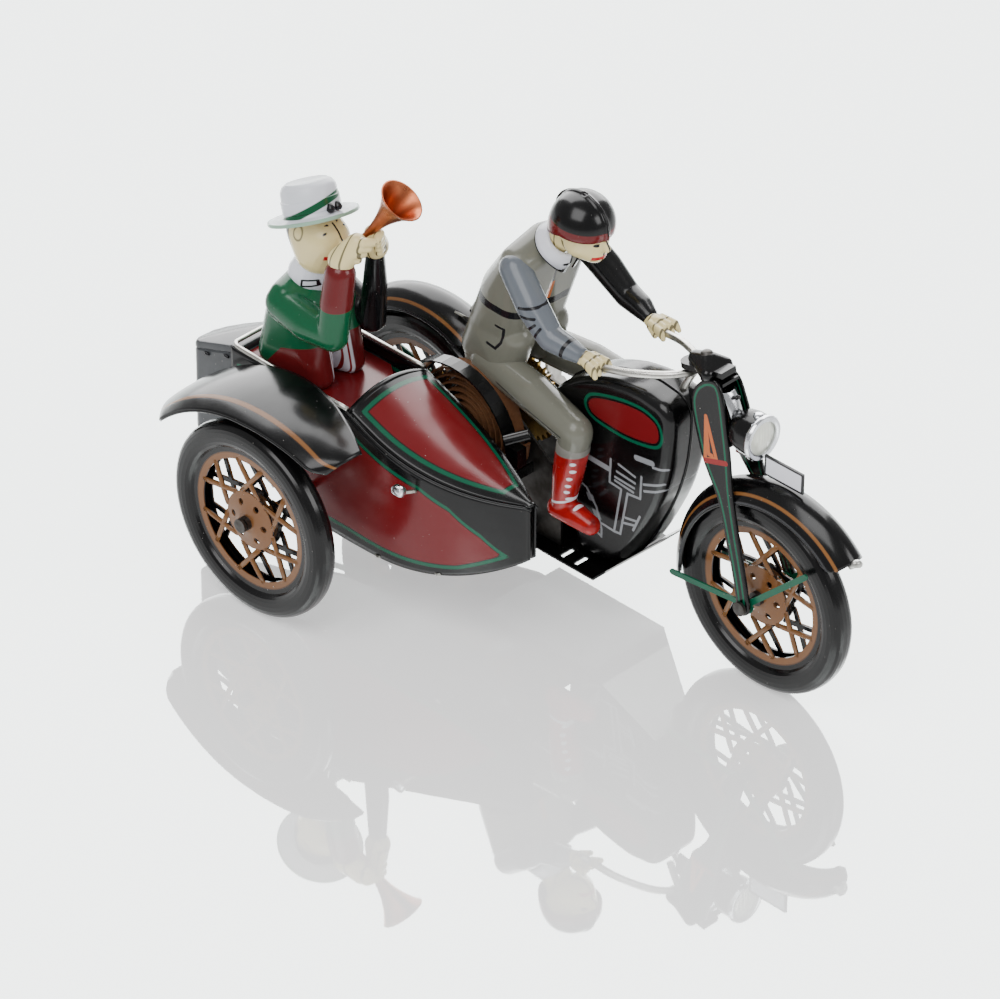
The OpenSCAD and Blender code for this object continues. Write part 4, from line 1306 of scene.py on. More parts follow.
@dataclass
class Fork:
    """The fork blades, headlight, number plate and front hardware."""

    finishes: Finishes
    thick: float = 0.03
    level: float = 0.31
    lean: float = 5.4
    lamp: Point = (-0.11, 0.0, 2.655)
    lamp_reach: float = 0.21

    def build(self) -> None:
        """Makes and dresses every piece that steers."""
        for side in Side:
            self.blade(side)
        self.headlight()
        paint_node("number_plate", self.finishes["plate"])
        paint_node("headlight_bracket", self.finishes["chrome"])
        paint_node("fork_yokes", self.finishes["black"])
        paint_node("steering_stem", self.finishes["bright_tin"])
        self.hood()
        self.mask()

    def blade(self, side: Side) -> None:
        """A pressed fork blade that leans in towards the head.

        Args:
            side: Which blade.
        """
        node = f"fork_blade_{side.name.lower()}"
        outline = rounded(BLADE_OUTLINE)
        shell = panel(node + "_pressing", outline, 0.0, self.thick, self.thick * 0.6)
        refine(shell, 0.05)
        stamp(shell, "edge", outline)
        turn = math.radians(self.lean)
        for vertex in shell.data.vertices:
            x, y, z = (vertex.co - LAYOUT.origin) / LAYOUT.radius
            up = z - 1
            out = self.level + y * math.cos(turn) - up * math.sin(turn)
            vertex.co = LAYOUT.at(x, side.value * out, 1 + up * math.cos(turn) + y * math.sin(turn))
        outward(shell)
        dress(shell, self.finishes["blade_litho"], "black_enamel", "fork", node)

    def headlight(self) -> None:
        """The lamp's deep shell, wide rim and ribbed lens."""
        low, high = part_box("headlight_shell")
        lens_low, lens_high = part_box("headlight_lens")

        def to_x(place: float) -> float:
            """Turns a row-frame X into wheel radii."""
            return (place - LAYOUT.origin.x) / LAYOUT.radius

        back, front, reach = to_x(low.x), to_x(high.x), self.lamp_reach
        length = front - back
        foot = (back, 0.0, self.lamp[2])
        bowl = [(0.0, 0.0), (reach * 0.45, 0.012), (reach * 0.75, length * 0.14), (reach * 0.93, length * 0.36),
                (reach, length * 0.62), (reach, length), (reach - TIN, length), (reach - TIN, length * 0.62),
                (reach * 0.7, length * 0.2), (0.0, TIN)]
        shell = lathe("headlight_bowl", bowl, foot, (1, 0, 0))
        dress(shell, self.finishes["black"], "black_enamel", "fork", "headlight_shell")
        low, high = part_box("headlight_rim")
        start, depth = to_x(low.x), to_x(high.x) - to_x(low.x)
        wide = (high.z - low.z) / 2 / LAYOUT.radius
        lip = [(wide - 0.012, 0.0), (wide, depth * 0.3), (wide, depth * 0.6), (wide - 0.012, depth * 0.92),
               (wide - 0.035, depth), (wide - 0.06, depth * 0.8), (wide - 0.062, depth * 0.5), (wide - 0.03, 0.0)]
        rim = lathe("headlight_bezel", lip, (start, 0.0, self.lamp[2]), (1, 0, 0))
        dress(rim, self.finishes["chrome"], "lamp_chrome", "fork", "headlight_rim")
        start = to_x(lens_low.x)
        depth = to_x(lens_high.x) - start
        wide = (lens_high.z - lens_low.z) / 2 / LAYOUT.radius
        face = [(0.0, 0.0), (wide, 0.0), (wide, depth * 0.3), (wide * 0.8, depth * 0.62), (wide * 0.5, depth * 0.88),
                (0.0, depth)]
        lens = lathe("headlight_glass", face, (start, 0.0, self.lamp[2]), (1, 0, 0))
        dress(lens, self.finishes["lens_pearl"], "lamp_glass", "fork", "headlight_lens")
        knob = [(0.0, -0.01), (0.05, -0.01), (0.05, 0.012), (0.03, 0.03), (0.0, 0.034)]
        top = lathe("headlight_cap", knob, (self.lamp[0] - 0.06, 0.0, self.lamp[2] + reach), (0, 0, 1), 24)
        dress(top, self.finishes["chrome"], "lamp_chrome", "fork")

    def hood(self) -> None:
        """The rounded cap over the two blades' heads."""
        low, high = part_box("head_cap")
        paint_node("head_cap", self.finishes["black"])
        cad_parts["head_cap"].data.shade_smooth()
        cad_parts["head_cap"].data.set_sharp_from_angle(angle=math.radians(35))
        nut_at = Vector(((low.x + high.x) / 2, (low.y + high.y) / 2, high.z - 0.0012))
        x, y, z = (nut_at - LAYOUT.origin) / LAYOUT.radius
        hood = figure("head_hood", [[(x - 0.13, 0, z - 0.01, 0.075), (x + 0.12, 0.12, z - 0.02, 0.07),
                                     (x + 0.12, -0.12, z - 0.02, 0.07), (x + 0.02, 0, z + 0.03, 0.09)]], 0.3, 4)
        dress(hood, self.finishes["black"], "black_enamel", "fork")
        z += 0.09
        dome = [(0.0, 0.0), (0.06, 0.0), (0.055, 0.02), (0.035, 0.036), (0.0, 0.042)]
        nut = lathe("steering_stem_rivet", dome, (x, y, z), (-0.2, 0, 0.98), 32)
        dress(nut, self.finishes["dark_steel"], "steel", "fork")

    def mask(self) -> None:
        """The bright curved strip down the front of the head, with its dark tabs."""
        rows = []
        for t in np.linspace(0, 1, 18):
            x = -0.5 + 0.13 * t + 0.05 * math.sin(t * math.pi)
            z = 2.98 - 0.44 * t
            half = 0.1 - 0.03 * t
            rows.append([(x - 0.05 * (s / 1.0) ** 2, half * s, z) for s in np.linspace(1, -1, 9)])
        strip = sheet("head_front_strip", rows, TIN, None, 0.006)
        outward(strip)
        dress(strip, self.finishes["chrome"], "bright_tin", "fork")
        for k, t in enumerate((0.1, 0.5, 0.86)):
            x, z = -0.47 + 0.13 * t + 0.05 * math.sin(t * math.pi), 2.98 - 0.44 * t
            tab = tube(f"head_front_tab_{k + 1}", [(x, -0.03, z), (x + 0.012, 0.0, z + 0.01), (x, 0.03, z)],
                       [0.014, 0.022, 0.014], 10, 3)
            dress(tab, self.finishes["black"], "black_enamel", "fork")


@dataclass
class Handlebar:
    """The bent wire bar."""

    finishes: Finishes
    reach: float = 0.037
    bends: tuple[Point, ...] = ((-1.86, 0.44, 2.82), (-1.7, 0.41, 2.855), (-1.45, 0.36, 2.9), (-1.16, 0.23, 2.95),
                                (-1.02, 0.1, 2.97), (-0.97, 0.0, 2.97))

    def build(self) -> None:
        """Sweeps the bar and its post."""
        left = list(self.bends)
        right = [(x, -y, z) for x, y, z in reversed(left[:-1])]
        bar = tube("handlebar_wire", left + right, self.reach, 16, 4)
        post = tube("handlebar_post", [(-0.97, 0, 2.97), (-1.03, 0, 2.86), (-1.1, 0, 2.72)], self.reach, 16, 3)
        dress(bar, self.finishes["bright_tin"], "bright_tin", "chassis", "handlebar")
        dress(post, self.finishes["bright_tin"], "bright_tin", "chassis")
        paint_node("head_tube", self.finishes["black"])


@dataclass
class Sidecar:
    """The sidecar's shell with cowl, cockpit, seat and trunk."""

    finishes: Finishes
    middle: float = -1.3
    half: float = 0.5
    tail: float = -5.17
    nose: float = -1.72
    cockpit: float = -3.6
    trunk_low: float = 0.86
    lid_top: float = 2.06
    lid_fall: float = 19.6

    def width(self, x: float) -> float:
        """Half width of the shell at x."""
        t = max(0.0, (x + 3.3) / 1.58)
        return max(0.03, self.half * (1 - t * t))

    def seam(self, x: float) -> float:
        """Height of the joint between side and cowl."""
        s = min(1.0, max(0.0, (-1.9 - x) / 1.76))
        return 1.72 + 0.4 * s * s

    def keel(self, x: float) -> float:
        """Height of the lower edge."""
        t, b = max(0.0, (x + 3.9) / 2.12), max(0.0, (-3.9 - x) / 1.27)
        return 0.6 + 0.52 * t ** 3 + 0.3 * b * b

    def build(self) -> None:
        """Makes and dresses every piece."""
        for side in Side:
            self.flank(side)
        self.cowl()
        self.rim()
        self.trunk()
        paint_node("seat_plate", self.finishes["maroon_sheet"])
        paint_node("sidecar_floor", self.finishes["black"])
        paint_node("sidecar_struts", self.finishes["black"])
        self.lamp()
        self.tabs()

    def flank(self, side: Side) -> None:
        """One side, with a shallow curve and the printed field.

        Args:
            side: Which side.
        """
        xs = np.linspace(self.tail, self.nose, 120)
        rows, depth = [], []
        for x in xs:
            top = np.interp(x, [-5.17, -2.75, -2.45, -2.16, -1.9], [0.89, 0.89, 0.8, 0.55, 0.17])
            low = np.interp(x, [-5.17, -2.4, -1.9], [0.09, 0.08, 0.17])
            row = []
            for v in np.linspace(0, 1, 25):
                tuck = 1 - 0.16 * (1 - v) ** 2
                z = self.keel(x) + (self.seam(x) - self.keel(x)) * v
                row.append((x, self.middle + side.value * self.width(x) * tuck, z))
                tall = self.seam(x) - self.keel(x)
                depth.append(min((top - v) * tall, (v - low) * tall, (-1.9 - x) * 0.8, (x - self.tail - 0.08)))
            rows.append(row)
        if side is Side.LEFT:
            depth = [d for i in range(len(rows)) for d in depth[i * 25:(i + 1) * 25][::-1]]
            rows = [row[::-1] for row in rows]
        node = f"sidecar_side_{side.name.lower()}"
        thing = sheet(node + "_pressing", rows, TIN, {"print": depth})
        dress(thing, self.finishes["sidecar_litho"], "maroon_litho", "chassis", node)

    def cowl(self) -> None:
        """The crowned top, from the cockpit to the nose."""
        rows, depth = [], []
        for x in np.linspace(self.cockpit, self.nose, 90):
            row = []
            for s in np.linspace(-1, 1, 33):
                wide = self.width(x)
                crown = 0.13 * (1 - s * s) * wide / self.half
                row.append((x, self.middle + s * wide, self.seam(x) + crown + TIN + 0.002))
                edge = wide * (1 - abs(s)) - 0.075
                depth.append(min(edge, -2.0 - x, x - self.cockpit - 0.075))
            rows.append(row)
        thing = sheet("sidecar_cowl_pressing", rows, TIN, {"print": depth})
        dress(thing, self.finishes["sidecar_litho"], "maroon_litho", "chassis", "sidecar_cowl")
        for side in Side:
            line = [(x, self.middle + side.value * (self.width(x) + 0.006), self.seam(x) + 0.006)
                    for x in np.linspace(self.tail, self.nose + 0.01, 40)]
            bead = tube(f"sidecar_seam_bead_{side.name.lower()}", line, 0.014, 8, 1)
            dress(bead, self.finishes["black"], "black_enamel", "chassis")
        lip_rows = [[(self.cockpit + 0.03 * math.cos(a), self.middle + s * self.half * 0.98,
                      self.seam(self.cockpit) + 0.13 * (1 - s * s) + 0.03 * math.sin(a))
                     for a in np.linspace(-0.5, 3.6, 9)] for s in np.linspace(-1, 1, 30)]
        lip = sheet("cowl_rolled_lip", lip_rows, TIN * 0.8)
        dress(lip, self.finishes["black"], "maroon_litho", "chassis")

    def rim(self) -> None:
        """The rolled wire edge round the cockpit."""
        z = self.seam(self.tail) + LAYOUT.mm(0.6)
        y0, y1 = self.middle - self.half, self.middle + self.half
        path = [(self.cockpit - 0.03, y0, z), (-4.3, y0, z), (-5.0, y0, z), (self.tail + 0.02, y0 + 0.03, z),
                (self.tail, y0 + 0.14, z), (self.tail, self.middle, z), (self.tail, y1 - 0.14, z),
                (self.tail + 0.02, y1 - 0.03, z), (-5.0, y1, z), (-4.3, y1, z), (self.cockpit - 0.03, y1, z)]
        wire = tube("cockpit_rolled_edge", path, LAYOUT.mm(0.6), 12, 5)
        dress(wire, self.finishes["bright_tin"], "bright_tin", "chassis", "cockpit_rim")

    def trunk(self) -> None:
        """The trunk with its pressed lid seam and tabs."""
        plan = [(-5.17, -1.7), *arc((-5.74, -1.58), 0.12, 270, 180, 5), (-5.84, -1.42), (-5.76, -1.31),
                (-5.62, -1.2), (-5.42, -1.1), (-5.17, -1.02)]

        def top(x: float) -> float:
            """Height of the lid at x."""
            return self.lid_top - (self.tail - x) * math.tan(math.radians(self.lid_fall))

        points: list[Point] = []
        levels = [(0.0, None), (0.0, -0.1), (0.012, -0.085), (0.0, -0.07), (0.0, -0.03), (0.012, -0.009),
                  (0.03, 0.0)]
        for depth, drop in levels:
            ring = np.array(inset(plan, depth)) if depth else np.array(plan)
            ring[:, 0] = np.minimum(ring[:, 0], self.tail)
            for x, y in ring:
                points.append((x, y, self.trunk_low if drop is None else top(x) + drop))
        count = len(plan)
        rings = len(points) // count
        faces = grid_faces(rings, count, wrap=True)
        faces += [tuple(range(count)), tuple(range((rings - 1) * count, rings * count))]
        box = outward(piece("trunk_case", points, faces))
        box.data.set_sharp_from_angle(angle=math.radians(30))
        dress(box, self.finishes["trunk_grey"], "trunk_enamel", "chassis", "trunk")
        for k, x in enumerate((-5.35, -5.62)):
            z = top(x) - 0.12
            tab = tube(f"trunk_tab_{k + 1}", [(x - 0.03, -1.706, z), (x, -1.712, z), (x + 0.03, -1.706, z)],
                       [0.012, 0.018, 0.012], 8, 2)
            dress(tab, self.finishes["ink"], "black_enamel", "chassis")

    def lamp(self) -> None:
        """The small lamp on its bent stalk at the cowl's outer side."""
        bowl = [(0.0, 0.0), (0.035, 0.004), (0.052, 0.03), (0.056, 0.1), (0.05, 0.118), (0.03, 0.126),
                (0.0, 0.13)]
        lamp = lathe("side_lamp_bowl", bowl, (-2.885, -1.94, 1.69), (0.99, 0, 0.08), 32)
        dress(lamp, self.finishes["chrome"], "bright_tin", "chassis", "side_lamp")
        stalk = tube("side_lamp_stalk", [(-2.76, -1.77, 1.64), (-2.79, -1.85, 1.65), (-2.81, -1.93, 1.68)],
                     0.019, 10, 3)
        dress(stalk, self.finishes["bright_tin"], "bright_tin", "chassis")

    def tabs(self) -> None:
        """Bent tabs along the lower edge that hold the floor."""
        for k, x in enumerate((-4.7, -4.0, -3.3, -2.6)):
            y = self.middle - self.width(x) * 0.84
            z = self.keel(x) + 0.02
            tab = tube(f"sidecar_floor_tab_{k + 1}", [(x - 0.04, y - 0.008, z), (x, y - 0.02, z - 0.012),
                                                      (x + 0.04, y - 0.008, z)], [0.01, 0.017, 0.01], 8, 2)
            dress(tab, self.finishes["clip_tin"], "bright_tin", "chassis")


@dataclass
class Rider:
    """The rider: jacket, trousers, boots, hands, face, collar and helmet."""

    finishes: Finishes

    def build(self) -> None:
        """Makes and dresses the figure."""
        halves = ("rider_right_half", "rider_left_half")
        torso = [(-3.38, 0.2, 2.44, 0.2), (-3.12, 0.2, 2.42, 0.18), (-3.14, 0.22, 3.0, 0.23),
                 (-2.87, 0.33, 3.42, 0.19), (-2.86, 0, 3.5, 0.2), (-3.3, 0, 2.44, 0.22)]
        upper = [(-2.84, 0.42, 3.42, 0.15), (-2.55, 0.49, 3.17, 0.15), (-2.3, 0.51, 2.97, 0.13)]
        fore = [(-2.28, 0.51, 2.96, 0.13), (-2.1, 0.49, 2.93, 0.115), (-1.97, 0.46, 2.9, 0.085)]
        skirt = [(-3.46, 0.2, 2.22, 0.2), (-3.12, 0.24, 2.22, 0.2), (-3.34, 0.2, 2.5, 0.22),
                 (-3.0, 0.22, 2.5, 0.18)]
        jacket = figure("rider_jacket", mirrored([torso, skirt]))
        dress(jacket, self.finishes["jacket"], "rider_litho", "chassis", *halves)
        sleeves = figure("rider_sleeves", mirrored([upper, fore]))
        dress(sleeves, self.finishes["sleeves"], "rider_litho", "chassis")
        seat = [(-3.46, 0.25, 2.12, 0.14), (-3.2, 0.26, 2.16, 0.17), (-3.3, 0.25, 2.3, 0.16)]
        thigh = [(-3.3, 0.27, 2.15, 0.18), (-2.6, 0.38, 2.13, 0.185), (-2.0, 0.46, 2.04, 0.165)]
        knee = [(-2.0, 0.46, 2.02, 0.165), (-2.03, 0.46, 1.86, 0.15)]
        trousers = figure("rider_trousers", mirrored([seat, thigh, knee]))
        dress(trousers, self.finishes["trousers"], "rider_litho", "chassis")
        for side in Side:
            shin = [(-2.03, 0.46 * side.value, 1.86, 0.165), (-2.08, 0.465 * side.value, 1.55, 0.15),
                    (-2.14, 0.46 * side.value, 1.2, 0.115)]
            foot = [(-2.2, 0.455 * side.value, 1.1, 0.115), (-2.0, 0.455 * side.value, 1.11, 0.12),
                    (-1.8, 0.45 * side.value, 1.08, 0.095)]
            boot = figure(f"rider_boot_{side.name.lower()}", [shin, foot], 0.3, 6)
            dress(boot, self.finishes["boots"], "rider_litho", "chassis")
            self.hand(side)
        self.head()

    def hand(self, side: Side) -> None:
        """A hand with four fingers bent over the bar and a thumb under it.

        Args:
            side: Which hand.
        """
        y = 0.45 * side.value
        palm = [(-1.93, y, 2.88, 0.075), (-1.84, y - 0.02 * side.value, 2.9, 0.062)]
        fingers = [[(-1.87, y + off, 2.93 - abs(off) * 0.3, 0.032), (-1.74 + abs(off) * 0.3, y + off * 1.3, 2.9, 0.03),
                    (-1.7 + abs(off) * 0.3, y + off * 1.4, 2.83, 0.026)] for off in (-0.075, -0.025, 0.025, 0.075)]
        thumb = [(-1.9, y - 0.05 * side.value, 2.84, 0.032), (-1.8, y - 0.085 * side.value, 2.8, 0.028)]
        hand = figure(f"rider_hand_{side.name.lower()}", [palm, *fingers, thumb], 0.24, 3)
        dress(hand, self.finishes["hands"], "rider_litho", "chassis")

    def collar(self) -> None:
        """The turned-down collar, open at the front."""
        lean = math.radians(38)
        rows, depth = [], []
        turns = np.linspace(math.radians(12), math.radians(348), 49)
        for turn in turns:
            point = max(0.0, math.cos(turn)) ** 3
            row = []
            for reach, along in ((0.155, 0.08), (0.172, 0.09), (0.2, 0.05), (0.225, 0.0), (0.25, -0.05 - 0.1 * point)):
                out, side = reach * math.cos(turn), reach * math.sin(turn)
                row.append((-2.66 + out * math.cos(lean) + along * math.sin(lean), side,
                            3.6 - out * math.sin(lean) + along * math.cos(lean)))
            rows.append(row)
            to_tip = min(turn - turns[0], turns[-1] - turn)
            depth += [min(to_tip, (4 - k) * 0.5) for k in range(5)]
        collar = sheet("rider_collar", rows, TIN, {"print": depth})
        dress(collar, self.finishes["collar"], "rider_litho", "chassis")

    def head(self) -> None:
        """The face, neck and ridged helmet."""
        skull = [(-2.42, 0.03, 3.93, 0.22), (-2.42, -0.03, 3.93, 0.22), (-2.31, 0, 3.92, 0.2)]
        jaw = [(-2.24, 0, 3.7, 0.12), (-2.36, 0.05, 3.78, 0.17), (-2.36, -0.05, 3.78, 0.17), (-2.3, 0, 3.9, 0.2)]
        nose = [(-2.11, 0, 3.84, 0.03), (-2.075, 0, 3.78, 0.034), (-2.12, 0, 3.76, 0.03)]
        face = figure("rider_face_pressing", [skull, jaw, nose], 0.3, 5)
        dress(face, self.finishes["rider_face"], "rider_litho", "chassis")
        neck = figure("rider_neck", [[(-2.74, 0, 3.55, 0.14), (-2.5, 0, 3.82, 0.16)]], 0.3, 4)
        dress(neck, self.finishes["hands"], "rider_litho", "chassis")
        self.collar()
        rows = []
        for t in np.linspace(0, 1, 28):
            polar = math.radians(4 + 94 * t)
            row = []
            for turn in np.linspace(0, 2 * math.pi, 73):
                out, flat = math.sin(polar), math.cos(polar)
                ridge = 0.018 * math.exp(-((math.sin(turn) * out) / 0.07) ** 2)
                dip = 0.14 * max(0.0, -math.cos(turn)) * t ** 3
                x = (0.305 + ridge) * out * math.cos(turn)
                y = (0.285 + ridge) * out * math.sin(turn)
                z = (0.27 + ridge) * flat - dip
                row.append((-2.4 + x * 0.985 + z * 0.12, y, 3.95 + z - x * 0.12))
            rows.append(row)
        shell = sheet("rider_helmet", rows, TIN)
        outward(shell)
        dress(shell, self.finishes["helmet"], "black_enamel", "chassis")
        ridge = tube("rider_helmet_seam", [(-2.4 + 0.325 * math.cos(a) + 0.03 * math.sin(a), 0,
                                            3.95 + 0.282 * math.sin(a) - 0.035 * math.cos(a))
                                           for a in np.linspace(0.05, math.pi - 0.05, 16)], 0.015, 8, 2)
        dress(ridge, self.finishes["black"], "black_enamel", "chassis")


@dataclass
class Passenger:
    """The passenger with boater and horn."""

    finishes: Finishes
    hat_at: Point = (-4.52, -1.35, 3.63)
    horn_foot: Point = (-4.06, -1.31, 3.47)
    horn_tip: Point = (-3.6, -1.12, 4.12)
    crown_reach: float = 0.27
    brim_reach: float = 0.43
    crown_tall: float = 0.35
    hat_tilt: Flat = (-7.5, -24.5)

    def build(self) -> None:
        """Makes and dresses the figure, hat and horn."""
        m = CAR_MIDDLE
        body = [[(-4.86, m + s * 0.22, 2.12, 0.15), (-4.26, m + s * 0.2, 2.08, 0.13), (-4.4, m + s * 0.22, 2.7, 0.14),
                 (-4.66, m + s * 0.25, 2.8, 0.17), (-4.66, m, 2.86, 0.19), (-4.84, m, 2.12, 0.15)] for s in (-1, 1)]
        right = [[(-4.66, m - 0.29, 2.76, 0.17), (-4.3, m - 0.32, 2.7, 0.17), (-3.97, m - 0.32, 2.72, 0.15)],
                 [(-3.97, m - 0.32, 2.72, 0.15), (-3.97, m - 0.27, 3.05, 0.155), (-3.99, m - 0.2, 3.33, 0.15)]]
        coat = figure("passenger_coat", [*body, *right])
        dress(coat, self.finishes["coat"], "passenger_litho", "chassis",
              "passenger_right_half", "passenger_left_half")
        left = [[(-4.62, m + 0.32, 2.8, 0.14), (-4.36, m + 0.36, 2.65, 0.14), (-4.14, m + 0.36, 2.52, 0.13)],
                [(-4.14, m + 0.36, 2.52, 0.13), (-4.03, m + 0.29, 3.0, 0.115), (-3.97, m + 0.23, 3.38, 0.09)]]
        arm = figure("passenger_far_arm", left)
        dress(arm, self.finishes["far_arm"], "passenger_litho", "chassis")
        self.hands(m)
        skull = [(-4.46, m, 3.32, 0.25), (-4.54, m, 3.5, 0.26), (-4.4, m, 3.44, 0.245)]
        nose = [(-4.16, m, 3.5, 0.03), (-4.11, m, 3.42, 0.038)]
        face = figure("passenger_face_pressing", [skull, nose], 0.3, 5)
        dress(face, self.finishes["passenger_face"], "passenger_litho", "chassis")
        neck = [(-4.6, m, 2.98, 0.21), (-4.53, m, 3.12, 0.19)]
        collar = figure("passenger_collar", [neck], 0.3, 4)
        dress(collar, self.finishes["tall_collar"], "passenger_litho", "chassis")
        self.hat()
        self.horn()

    def hands(self, m: float) -> None:
        """Both hands, fingers closed round the horn.

        Args:
            m: The figure's middle.
        """
        for side, palm_at, tip_at in ((Side.RIGHT, (-4.0, m - 0.17, 3.47), (-3.9, m - 0.07, 3.66)),
                                      (Side.LEFT, (-3.96, m + 0.22, 3.47), (-3.9, m + 0.14, 3.66))):
            palm = [(*palm_at, 0.13), (*tip_at, 0.09)]
            fingers = []
            for k in range(4):
                t = k / 3
                x = palm_at[0] + (tip_at[0] - palm_at[0]) * t + 0.05
                y = palm_at[1] + (tip_at[1] - palm_at[1]) * t
                z = palm_at[2] + (tip_at[2] - palm_at[2]) * t
                toward = -side.value * 0.08
                fingers.append([(x + 0.03, y, z + 0.03, 0.05), (x + 0.08, y + toward, z + 0.02, 0.04)])
            hand = figure(f"passenger_hand_{side.name.lower()}", [palm, *fingers], 0.24, 3)
            dress(hand, self.finishes["hands"], "passenger_litho", "chassis")

    def hat(self) -> None:
        """The boater: crown with rounded edge, band and flat brim."""
        low, reach, brim, tall = TIN * 0.5, self.crown_reach, self.brim_reach, self.crown_tall
        profile = [(brim, 0.0), (brim + 0.004, low), (brim, 0.033), (reach + 0.02, 0.036), (reach + 0.004, 0.05),
                   (reach, 0.075), (reach + 0.008, 0.08), (reach + 0.008, 0.19), (reach, 0.195), (reach - 0.006, 0.28),
                   (reach - 0.03, 0.325), (reach - 0.07, tall), (reach - 0.09, tall - 0.004), (0.0, tall - 0.012),
                   (0.0, tall - 0.035), (reach - 0.08, tall - 0.03), (reach - 0.03, 0.27), (reach - 0.02, 0.0)]
        tilt = [math.radians(a) for a in self.hat_tilt]
        axis = Vector((math.sin(tilt[1]) * math.cos(tilt[0]), -math.sin(tilt[0]),
                       math.cos(tilt[1]) * math.cos(tilt[0])))
        hat = lathe("boater_hat", profile, self.hat_at, axis, 96)
        count = len(hat.data.vertices)
        places = np.zeros(count * 3)
        hat.data.vertices.foreach_get("co", places)
        foot = np.array(self.hat_at)
        off = (places.reshape(-1, 3) - np.array(LAYOUT.origin)) / LAYOUT.radius - foot
        height = off @ np.array(axis)
        out = np.linalg.norm(off - height[:, None] * np.array(axis), axis=1)
        slant = height - 0.35 * (off[:, 0] * 0.72 + off[:, 1] * 0.7)
        for key, values in (("slant", slant), ("height", height), ("out", out)):
            attribute = hat.data.attributes.new(key, "FLOAT", "POINT")
            attribute.data.foreach_set("value", values.astype(np.float32))
        dress(hat, self.finishes["hat_straw"], "hat_litho", "chassis", "hat")
        right = Vector((0, 1, 0)).cross(axis).normalized()
        for k, turn in enumerate((-0.05, 0.3)):
            around = right * math.cos(turn) + axis.cross(right) * math.sin(turn)
            knots = [Vector(self.hat_at) + around * (reach + 0.02) + axis * up for up in (0.05, 0.08, 0.13)]
            tab = tube(f"boater_tab_{k + 1}", [tuple(p) for p in knots], [0.03, 0.042, 0.02], 10, 3)
            dress(tab, self.finishes["ink"], "hat_litho", "chassis")

    def horn(self) -> None:
        """The horn: mouthpiece, tube, flared bell with a rolled rim."""
        foot, tip = Vector(self.horn_foot), Vector(self.horn_tip)
        length = (tip - foot).length

        def reach(t: float) -> float:
            """Outer radius of the horn at the share t of its length."""
            return LAYOUT.mm(0.9 + 5.2 * t ** 3.2)

        outer = [(reach(t), length * t) for t in np.linspace(0.03, 0.985, 34)]
        lip = [(reach(1) - 0.002, length * 0.99), (reach(1), length * 0.998), (reach(1) - 0.012, length)]
        inner = [(max(0.004, reach(t) - TIN), length * t) for t in np.linspace(0.98, 0.35, 18)]
        horn = lathe("horn_bell", [(0.004, length * 0.03), *outer, *lip, *inner, (0.0, length * 0.34)], foot,
                     tip - foot, 72)
        dress(horn, self.finishes["copper_ink"], "horn_copper", "chassis", "horn")
        stem = tube("horn_stem", [(-4.22, -1.41, 3.37), (-4.13, -1.36, 3.41), tuple(foot)], [0.045, 0.055, 0.04], 14, 3)
        dress(stem, self.finishes["copper_ink"], "horn_copper", "chassis")
        mouth = [(0.0, 0.0), (0.03, 0.0), (0.044, 0.012), (0.03, 0.03), (0.026, 0.05), (0.0, 0.052)]
        mouthpiece = lathe("horn_mouthpiece", mouth, foot, tip - foot, 32)
        dress(mouthpiece, self.finishes["brass"], "horn_copper", "chassis")


# ---------- set and camera ----------


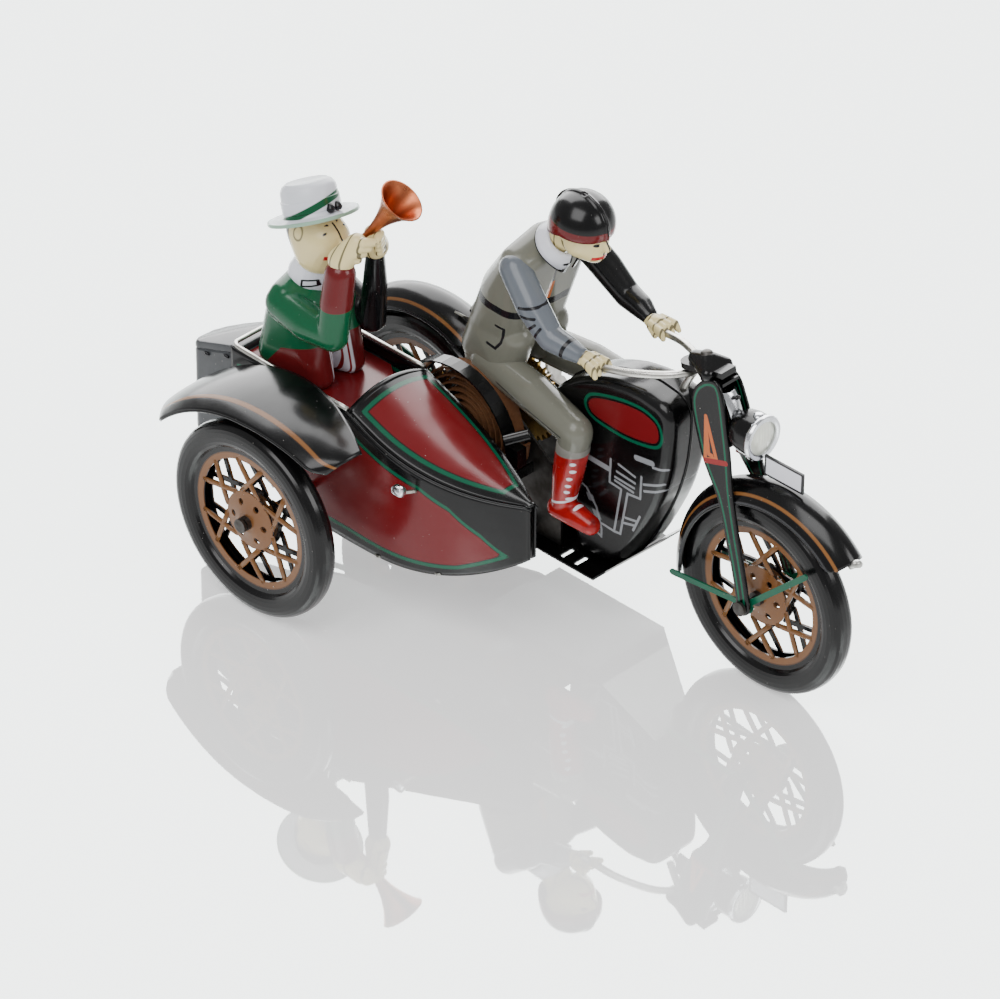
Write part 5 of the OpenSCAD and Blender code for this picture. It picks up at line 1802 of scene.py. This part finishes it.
@dataclass
class Studio:
    """Pale floor, soft light and the camera."""

    aim: Point = (-2.405, -1.033, 1.358)
    azimuth: float = 44.33
    elevation: float = 34.72
    roll: float = 0.5
    distance: float = 60.6
    lens: float = 236.3
    mirror_share: float = 0.35
    sky: float = 0.5
    floor_glow: float = 0.9
    backdrop_glow: float = 8.0
    backdrop_half: float = 1.1
    backdrop_away: float = 1.6
    floor_half: float = 6.0
    mirror_tint: Colour = (0.93, 1.0, 0.98)

    def build(self) -> None:
        """Makes the floor, lights, world and camera."""
        self.floor()
        self.backdrop()
        self.lights()
        self.camera()

    def floor(self) -> None:
        """A large white floor with a faint mirror."""
        mesh = bpy.data.meshes.new("studio_floor")
        far = self.floor_half
        mesh.from_pydata([(-far, -far, 0), (far, -far, 0), (far, far, 0), (-far, far, 0)], [], [(0, 1, 2, 3)])
        floor = bpy.data.objects.new("studio_floor", mesh)
        bpy.context.scene.collection.objects.link(floor)
        paint = Paint("studio_floor_sheet")
        colour = paint.mix((0.97, 0.97, 0.97), (0.93, 0.94, 0.94), paint.noise(0.3, 2.0).over(0.6, 0.4))
        matt = paint.node("ShaderNodeBsdfDiffuse", {}, {"Color": colour})
        mirror = paint.node("ShaderNodeBsdfGlossy", {}, {"Color": self.mirror_tint, "Roughness": 0.02})
        glow = paint.node("ShaderNodeEmission", {}, {"Color": (1.0, 1.0, 1.0), "Strength": self.floor_glow})
        lit = paint.node("ShaderNodeAddShader", {}, {0: matt.outputs[0], 1: glow.outputs[0]})
        mixed = paint.node("ShaderNodeMixShader", {},
                           {0: self.mirror_share, 1: lit.outputs[0], 2: mirror.outputs[0]})
        paint.node("ShaderNodeOutputMaterial", {}, {0: mixed.outputs[0]})
        floor.data.materials.append(paint.material)

    def backdrop(self) -> None:
        """A bright sheet high behind the toy, which the gloss and the floor mirror."""
        a, e = math.radians(self.azimuth), math.radians(self.elevation)
        away = Vector((-math.sin(a) * math.cos(e), math.cos(a) * math.cos(e), math.sin(e)))
        mesh = bpy.data.meshes.new("studio_backdrop")
        half = self.backdrop_half
        corners = [(-half, -half, 0), (half, -half, 0), (half, half, 0), (-half, half, 0)]
        mesh.from_pydata(corners, [], [(0, 1, 2, 3)])
        card = bpy.data.objects.new("studio_backdrop", mesh)
        bpy.context.scene.collection.objects.link(card)
        card.location = LAYOUT.at(*self.aim) + away * self.backdrop_away
        card.rotation_euler = away.to_track_quat("Z", "Y").to_euler()
        paint = Paint("studio_backdrop_sheet")
        glow = paint.node("ShaderNodeEmission", {}, {"Color": (1.0, 1.0, 1.0), "Strength": self.backdrop_glow})
        paint.node("ShaderNodeOutputMaterial", {}, {0: glow.outputs[0]})
        mesh.materials.append(paint.material)
        card.visible_diffuse = False
        card.visible_shadow = False

    def lights(self) -> None:
        """A bright even world, a broad key from above and a soft fill."""
        world = bpy.data.worlds.new("studio")
        world.use_nodes = True
        world.node_tree.nodes["Background"].inputs[0].default_value = (1.0, 1.0, 1.0, 1.0)
        world.node_tree.nodes["Background"].inputs[1].default_value = self.sky
        bpy.context.scene.world = world
        aim = LAYOUT.at(*self.aim)
        for name, place, size, power in (("key", (0.15, -0.55, 0.9), 0.7, 9.0), ("back", (-0.6, 0.5, 0.7), 0.5, 5.0),
                                         ("side", (0.7, 0.25, 0.45), 0.35, 2.5)):
            lamp = bpy.data.lights.new(name, "AREA")
            lamp.energy, lamp.size = power, size
            thing = bpy.data.objects.new(name, lamp)
            bpy.context.scene.collection.objects.link(thing)
            thing.location = aim + Vector(place)
            thing.rotation_euler = Vector(place).to_track_quat("Z", "Y").to_euler()
            thing.visible_glossy = name != "back"

    def camera(self) -> None:
        """The camera, from the toy's right front and above."""
        a, e, r = (math.radians(v) for v in (self.azimuth, self.elevation, self.roll))
        back = Vector((math.sin(a) * math.cos(e), -math.cos(a) * math.cos(e), math.sin(e)))
        right = Vector((math.cos(a), math.sin(a), 0))
        up = Vector((-math.sin(a) * math.sin(e), math.cos(a) * math.sin(e), math.cos(e)))
        side = right * math.cos(r) + up * math.sin(r)
        top = up * math.cos(r) - right * math.sin(r)
        place = LAYOUT.at(*self.aim) + back * self.distance * LAYOUT.radius
        data = bpy.data.cameras.new("camera")
        data.lens, data.sensor_width = self.lens, 36
        data.clip_start, data.clip_end = 0.05, 20
        camera = bpy.data.objects.new("camera", data)
        bpy.context.scene.collection.objects.link(camera)
        camera.matrix_world = placement(side, top, back, place)
        bpy.context.scene.camera = camera


def placement(side: Vector, top: Vector, back: Vector, place: Vector) -> Matrix:
    """A placement matrix from three axes and a point."""
    return Matrix(((side.x, top.x, back.x, place.x), (side.y, top.y, back.y, place.y),
                   (side.z, top.z, back.z, place.z), (0, 0, 0, 1)))


def main() -> None:
    """Builds the toy's looks, then the studio."""
    logging.basicConfig(level=logging.INFO, format="%(name)s: %(message)s")
    finishes = Finishes()
    parts = [kind(finishes) for kind in (Engine, Wheels, Fenders, Fork, Handlebar, Sidecar, Rider, Passenger)]
    for part in (*parts, Studio()):
        LOG.info("building %s", type(part).__name__)
        part.build()


if __name__ == "__main__":
    main()
